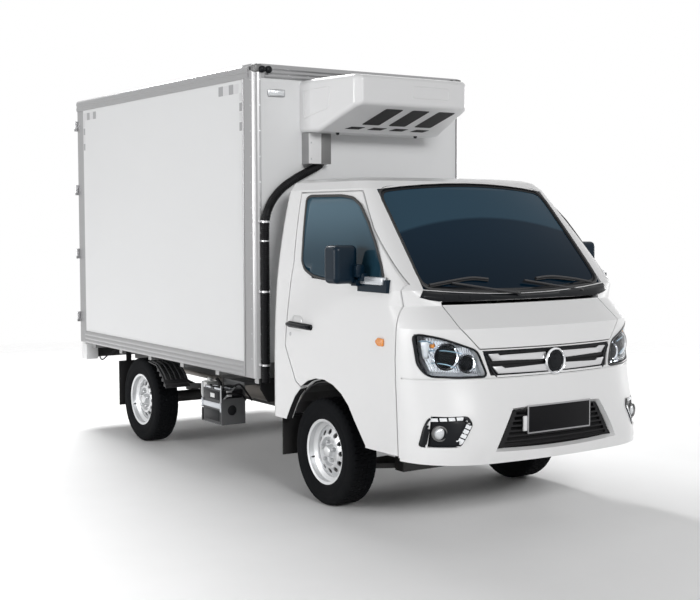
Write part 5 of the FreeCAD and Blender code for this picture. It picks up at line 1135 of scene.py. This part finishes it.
def make_cooling_hose():
    """Corrugated black sleeve in place of the plain one, and its clips with their bright ends."""
    route = sleeve_route()
    sides = 14
    verts = []
    across = Vector((1, 0, 0))
    for index, point in enumerate(route):
        along = (route[min(index + 1, len(route) - 1)] - route[max(index - 1, 0)]).normalized()
        third = along.cross(across)
        radius = SLEEVE_RADII[index % len(SLEEVE_RADII)]
        for turn in (2 * math.pi * i / sides for i in range(sides)):
            verts.append(point + (across * math.cos(turn) + third * math.sin(turn)) * radius)
    faces = quads(len(route), sides)
    faces += [tuple(range(sides)), tuple(range(len(verts) - sides, len(verts)))[::-1]]
    sleeve = from_parts("cooling_sleeve", verts, faces, sleeve_black, smooth=60)
    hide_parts("cooling_hose")
    clips = Form()
    tie = min(route, key=lambda p: abs(p.z - 1.500))
    clips.turned([(-0.004, CLIP_RADIUS), (0.004, CLIP_RADIUS)], tie, (0, 0, 1), 18)
    for height in (1.620, 1.190, 0.740):
        point = min(route, key=lambda p: abs(p.z - height))
        clips.turned([(-0.006, CLIP_RADIUS), (0.006, CLIP_RADIUS)], point, (0, 0, 1), 18)
        clips.box((point.x - 0.030, point.y - 0.034, height - 0.008),
                (point.x - 0.010, point.y + 0.034, height + 0.008), 0.002)
        for y in (0.029, -0.029):
            clips.turned([(0.0, 0.008), (0.012, 0.007), (0.014, 0.0)],
                    (point.x - 0.012, point.y + y, height), (1, 0, 0), 10)
    clips.done("sleeve_clips", gear_steel, slot="black_plastic")


# Under the cab and the box

ARCH_REACHES = (0.754, 0.762, 0.768, 0.773, 0.778, 0.782, 0.786, 0.790, 0.794, 0.798, 0.802, 0.806)
ARCH_CENTRE_HEIGHT = 0.300


def arch_strip(name, side, node, body, start, end, limit):
    """A black lip on the wheel opening's edge, between two angles about the opening's centre."""
    skin = surface_of(node)
    steps = 24
    rings = []
    for step in range(steps + 1):
        turn = math.radians(start + (end - start) * step / steps)
        outward = Vector((math.cos(turn), 0, math.sin(turn)))
        ring = []
        for reach in ARCH_REACHES:
            origin = Vector((AXLE, side * reach, ARCH_CENTRE_HEIGHT))
            point = skin.ray_cast(origin, outward)[0]
            far = (point - origin).length if point else limit
            ring.append(origin + outward * (far - 0.0015) if far < limit else None)
        found = [index for index, point in enumerate(ring) if point is not None]
        if found:
            rings.append([ring[min(found, key=lambda k: abs(k - index))] for index in range(len(ring))])
    verts = [point for ring in rings for point in ring]
    faces = quads(len(rings), len(ARCH_REACHES), wrap=False)
    thickened(from_parts(name, verts, faces, flap_rubber, body, 40), 0.0012, offset=0.0)


def make_arch_lips():
    """Black lips round the front wheel openings, in the doors and in the cab behind them."""
    for hand, side in SIDES:
        arch_strip("arch_lip_front_" + hand, side, "door_panel_" + hand, "cab_door_" + hand, 34, 122, 0.50)
        arch_strip("arch_lip_rear_" + hand, side, "cab_shell", "chassis", 110, 168, 0.60)


def make_battery_details():
    """Clamp strap, caps, cables and bottle round the battery, and the bright edges of its carrier."""
    low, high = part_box("battery")
    back, side, top, front = low.x, low.y, 0.495, high.x

    def boxes(name, blocks, material, slot=None):
        """Boxes whose x is measured from the battery's rear or front face, and y from its outer face."""
        form = Form()
        for (x0, y0, z0), (x1, y1, z1), bevel in blocks:
            form.box((x0, side + y0, z0), (x1, side + y1, z1), bevel)
        form.done(name, material, slot=slot)

    boxes("battery_strap", (((back - 0.016, -0.006, 0.372), (front + 0.010, 0.002, 0.408), 0.002),
            ((back - 0.022, -0.009, 0.360), (back - 0.002, 0.004, 0.420), 0.003),
            ((front + 0.002, -0.010, 0.350), (front + 0.018, 0.004, 0.418), 0.003)), silver_cover,
            "battery_case")
    rods = Form()
    for x in (back - 0.010, front + 0.010):
        rods.turned([(0.0, 0.005), (0.115, 0.005), (0.118, 0.0)], (x, side - 0.002, 0.414), (0, 0, 1), 10)
    rods.turned([(0.0, 0.006), (0.150, 0.006), (0.152, 0.0)], (front + 0.012, side - 0.010, 0.412),
            (0.0, 0.74, 0.66), 10)
    rods.done("battery_rods", rivet_metal)
    boxes("battery_panels", (((back + 0.020, -0.003, 0.428), (front - 0.020, 0.001, 0.486), 0.002),
            ((back + 0.020, -0.003, 0.285), (front - 0.020, 0.001, 0.358), 0.002)), gloss_black,
            "battery_case")
    boxes("battery_label", (((back + 0.105, -0.0045, 0.440), (back + 0.165, -0.001, 0.468), 0.001),),
            unit_white)
    boxes("battery_clamp_edges", (((back + 0.010, 0.004, top), (front - 0.004, 0.016, top + 0.014), 0.002),
            ((back + 0.010, 0.070, top + 0.002), (front - 0.004, 0.094, top + 0.012), 0.002)), silver_cover,
            "battery_case")
    for name, places in (
            ("battery_cable_front", ((front - 0.04, 0.11, top + 0.012), (front + 0.03, 0.13, top + 0.035),
                                     (front + 0.06, 0.17, 0.47), (front + 0.05, 0.21, 0.42))),
            ("battery_cable_rear", ((back + 0.05, 0.11, top + 0.012), (back - 0.02, 0.12, top + 0.045),
                                    (back - 0.08, 0.14, top + 0.03), (back - 0.12, 0.20, top))),
            ("battery_lead", ((front + 0.004, 0.03, 0.470), (front + 0.035, 0.05, 0.476),
                              (front + 0.060, 0.12, 0.468), (front + 0.030, 0.17, 0.430)))):
        bead(name, smooth_line([(x, side + y, z) for x, y, z in places]), 0.0065, sleeve_black)
    boxes("lead_connector", (((front + 0.001, 0.040, 0.452), (front + 0.020, 0.075, 0.492), 0.003),),
            unit_white)
    bottle = Form()
    bottle.box((back - 0.150, side + 0.050, 0.405), (back - 0.055, side + 0.150, 0.520), 0.022)
    bottle.turned([(0.0, 0.020), (0.020, 0.020), (0.024, 0.016), (0.024, 0.0)],
            (back - 0.10, side + 0.10, 0.518), (0, 0, 1), 16)
    bottle.done("coolant_bottle", bottle_white, smooth=50)


SHROUD = ((0.760, 0.665), (0.640, 0.665), (0.640, 0.500), (0.705, 0.500), (0.760, 0.585))
LAMP_WIRE = ((0.004, 0.690, 0.600), (0.050, 0.700, 0.540), (0.120, 0.705, 0.520), (0.190, 0.690, 0.560),
             (0.260, 0.650, 0.606))  # distance ahead of the lamp bar, distance out and height


def fender_line(skin, centre, y):
    """A line over a rear fender, from its front edge up and back."""
    line = []
    for step in range(13):
        turn = math.radians(24 + 5.5 * step)
        outward = Vector((math.cos(turn), 0, math.sin(turn)))
        start = Vector((centre.x, y, centre.z)) + outward * 0.75
        point = skin.ray_cast(start, -outward)[0]
        if point and (point - start).length < 0.5:
            line.append(point + outward * 0.003)
    return line


def make_under_details():
    """Shroud at the sleeve's foot, ribs on the rear fenders, pale ends and wires of the rear lamp bar."""
    fenders = surface_of("rear_fenders")
    low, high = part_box("rear_bumper")
    for hand, side in SIDES:
        rings = ([(BOX_HIGH.x - back, side * y, z) for y, z in SHROUD] for back in (0.030, 0.024))
        prism("splash_shroud_" + hand, *rings, flap_rubber, "black_plastic")
        centre = middle_of("tyre_rear_" + hand)
        for number in range(5):
            line = fender_line(fenders, centre, side * (0.600 + 0.038 * number))
            if len(line) > 2:
                bead("fender_rib_%s_%d" % (hand, number), line, 0.008, plastic_black)
        Form().side_box(side, (low.x - 0.004, high.y - 0.085, low.z - 0.004),
                (high.x + 0.006, high.y + 0.012, high.z + 0.004), 0.004).done("lamp_bar_end_" + hand,
                unit_white, slot="panel_white")
        wire = [(high.x + x, side * y, z) for x, y, z in LAMP_WIRE]
        bead("lamp_wire_" + hand, smooth_line(wire), 0.005, sleeve_black)


# Wheels

TREAD_RIBS = 5
TREAD_REACH = 1.48  # the tread's width over the tyre's half width
GROOVE = 0.0055
TREAD_STEPS = 240
SIPE_PITCH = 5


def make_tyre(end, hand):
    """Tyre with a ribbed sidewall and blocks of tread parted by grooves and sipes."""
    node = "tyre_%s_%s" % (end, hand)
    low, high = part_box(node)
    centre, radius, half = (low + high) / 2, (high.z - low.z) / 2, (high.y - low.y) / 2
    rim = 0.181
    # Each point: place over the half width, radius, and which turn of sipes cuts it (0 for none).
    profile = [(-0.80, rim, 0), (-0.93, rim + 0.012, 0), (-0.985, 0.215, 0), (-1.0, 0.240, 0),
            (-0.993, 0.243, 0), (-0.993, 0.256, 0), (-1.0, 0.259, 0), (-0.98, 0.274, 0),
            (-0.93, radius - 0.017, 0), (-0.87, radius - 0.009, 2), (-0.80, radius - 0.004, 2)]
    shoulder = profile[::-1]
    for rib in range(TREAD_RIBS):
        start, stop = (-TREAD_REACH / 2 + TREAD_REACH * edge / TREAD_RIBS for edge in (rib, rib + 1))
        start, stop = start + 0.012, stop - 0.012
        profile += [(start, radius - 0.001, 1 + rib % 2), (stop, radius - 0.001, 1 + rib % 2)]
        if rib < TREAD_RIBS - 1:
            profile += [(stop + 0.004, radius - GROOVE, 0), (stop + 0.020, radius - GROOVE, 0)]
    profile += [(-y, r, kind) for y, r, kind in shoulder]
    profile += [(0.80, rim - 0.003, 0), (-0.80, rim - 0.003, 0)]
    verts = []
    for step in range(TREAD_STEPS):
        turn = 2 * math.pi * step / TREAD_STEPS
        for y, r, kind in profile:
            cut = kind and (step + 2 * (kind - 1)) % SIPE_PITCH == 0
            deep = r - GROOVE * 0.8 if cut else r
            verts.append((centre.x + deep * math.cos(turn), centre.y + y * half,
                    centre.z + deep * math.sin(turn)))
    faces = quads(TREAD_STEPS, len(profile), wrap_rings=True)
    piece = from_parts("%s_tread_%s" % (end, hand), verts, faces, tyre_rubber, "%s_wheel_%s" % (end, hand),
            28)
    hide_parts(node)


NUT = [(0.0, 0.013), (0.006, 0.0125), (0.010, 0.0105), (0.018, 0.0105), (0.021, 0.007), (0.021, 0.0)]
CAP = [(-0.004, 0.034), (0.010, 0.034), (0.018, 0.030), (0.022, 0.018), (0.023, 0.0)]
VALVE = [(0.0, 0.006), (0.016, 0.0045), (0.020, 0.003), (0.020, 0.0)]


def make_wheel_trim(end, hand, side):
    """Nuts on their studs, the centre cap and the valve."""
    centre = middle_of("rim_%s_%s" % (end, hand))
    body = "%s_wheel_%s" % (end, hand)

    def about(radius, degrees, out):
        turn = math.radians(degrees)
        return (centre.x + radius * math.cos(turn), centre.y + side * out,
                centre.z + radius * math.sin(turn))

    nuts = Form()
    for index in range(5):
        nuts.turned(NUT, about(0.057, 90 + 72 * index, 0.042), (0, side, 0), 6)
    nuts.done("wheel_nuts_%s_%s" % (end, hand), rivet_metal, body, "wheel_silver")
    Form().turned(CAP, about(0.0, 0, 0.046), (0, side, 0), 28).done("wheel_cap_%s_%s" % (end, hand),
            wheel_silver, body, "wheel_silver")
    Form().turned(VALVE, about(0.150, 200, 0.055), (0, side, 0), 10).done("wheel_valve_%s_%s" % (end, hand),
            rubber, body)


# Seats

CLOTH_FRAMES = 20
PUFF_LIMIT = 0.024
SEAT_HALF = 0.205
SEAT_MIDDLE = 0.390


def evaluated(piece):
    """A new mesh of a piece as its modifiers leave it."""
    graph = bpy.context.evaluated_depsgraph_get()
    graph.update()
    return bpy.data.meshes.new_from_object(piece.evaluated_get(graph))


def applied(piece):
    """Gives a piece the mesh that its modifiers make, and clears them."""
    piece.data = evaluated(piece)
    piece.modifiers.clear()


def inflated(name, low, high, lean):
    """A block of foam swollen inside its cloth cover: remeshed, puffed up by pressure and smoothed."""
    core = Form().box(low, high, 0.030, Matrix.Rotation(lean, 4, "Y"))
    mesh = bpy.data.meshes.new(name)
    core.mesh.to_mesh(mesh)
    core.mesh.free()
    piece = bpy.data.objects.new(name, mesh)
    bpy.context.scene.collection.objects.link(piece)
    remesh = piece.modifiers.new("even_mesh", "REMESH")
    remesh.mode = "VOXEL"
    remesh.voxel_size = 0.010
    applied(piece)
    start = [vert.co.copy() for vert in piece.data.vertices]
    cloth = piece.modifiers.new("cover", "CLOTH")
    cloth.settings.use_pressure = True
    cloth.settings.uniform_pressure_force = 4.0
    cloth.settings.effector_weights.gravity = 0.0
    cloth.settings.quality = 4
    cloth.point_cache.frame_start = 1
    cloth.point_cache.frame_end = CLOTH_FRAMES
    for number in range(1, CLOTH_FRAMES + 1):
        bpy.context.scene.frame_set(number)
    puffed = evaluated(piece)
    piece.modifiers.clear()
    bpy.context.scene.frame_set(1)
    for vert, place in zip(puffed.vertices, start):
        move = vert.co - place
        if move.length > PUFF_LIMIT:
            vert.co = place + move.normalized() * PUFF_LIMIT
    piece.data = puffed
    piece.modifiers.new("finer", "SUBSURF").levels = 1
    applied(piece)
    piece.data.materials.clear()
    return piece


def make_seats():
    """Driver's and passenger's seats: cushion, leaning back and head rest, in woven cloth."""
    low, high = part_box("seats")
    deck, front = low.z + 0.008, high.x - 0.040
    parts = []
    for name, start, end, half, lean, fill in (
            ("seat_cushion", (-0.42, 0.0), (0.0, 0.095), SEAT_HALF, -4, 0.7),
            ("seat_back", (-0.505, 0.150), (-0.425, 0.600), SEAT_HALF, -11, 0.7),
            ("head_rest", (-0.590, 0.650), (-0.520, 0.770), 0.115, -9, 0.8)):
        parts.append((inflated(name, (front + start[0], -half, deck + start[1]),
                (front + end[0], half, deck + end[1]), math.radians(lean)), fill))
    for piece, fill in parts:
        for hand, side in SIDES:
            mesh = piece.data.copy()
            mesh.transform(Matrix.Translation((0, side * SEAT_MIDDLE, 0)))
            made = add_piece("%s_%s" % (piece.name, hand), mesh, seat_cloth, "chassis", 60)
            if made.name == "seat_cushion_right":
                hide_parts("seats")
        bpy.data.objects.remove(piece)


for make_pieces in (make_screen_trim, make_wiper_blades, make_door_windows, make_mirror_trim,
                    make_door_handles, make_headlamps, make_fog_lamps, make_grille_trim, make_plate,
                    make_box_rivets, make_tapes, make_box_lamps, make_rail_ribs, make_unit_details,
                    make_cover_trim, make_cooling_hose, make_arch_lips, make_battery_details,
                    make_under_details, make_seats):
    make_pieces()
for hand, side in SIDES:
    for end in ("front", "rear"):
        make_tyre(end, hand)
        make_wheel_trim(end, hand, side)
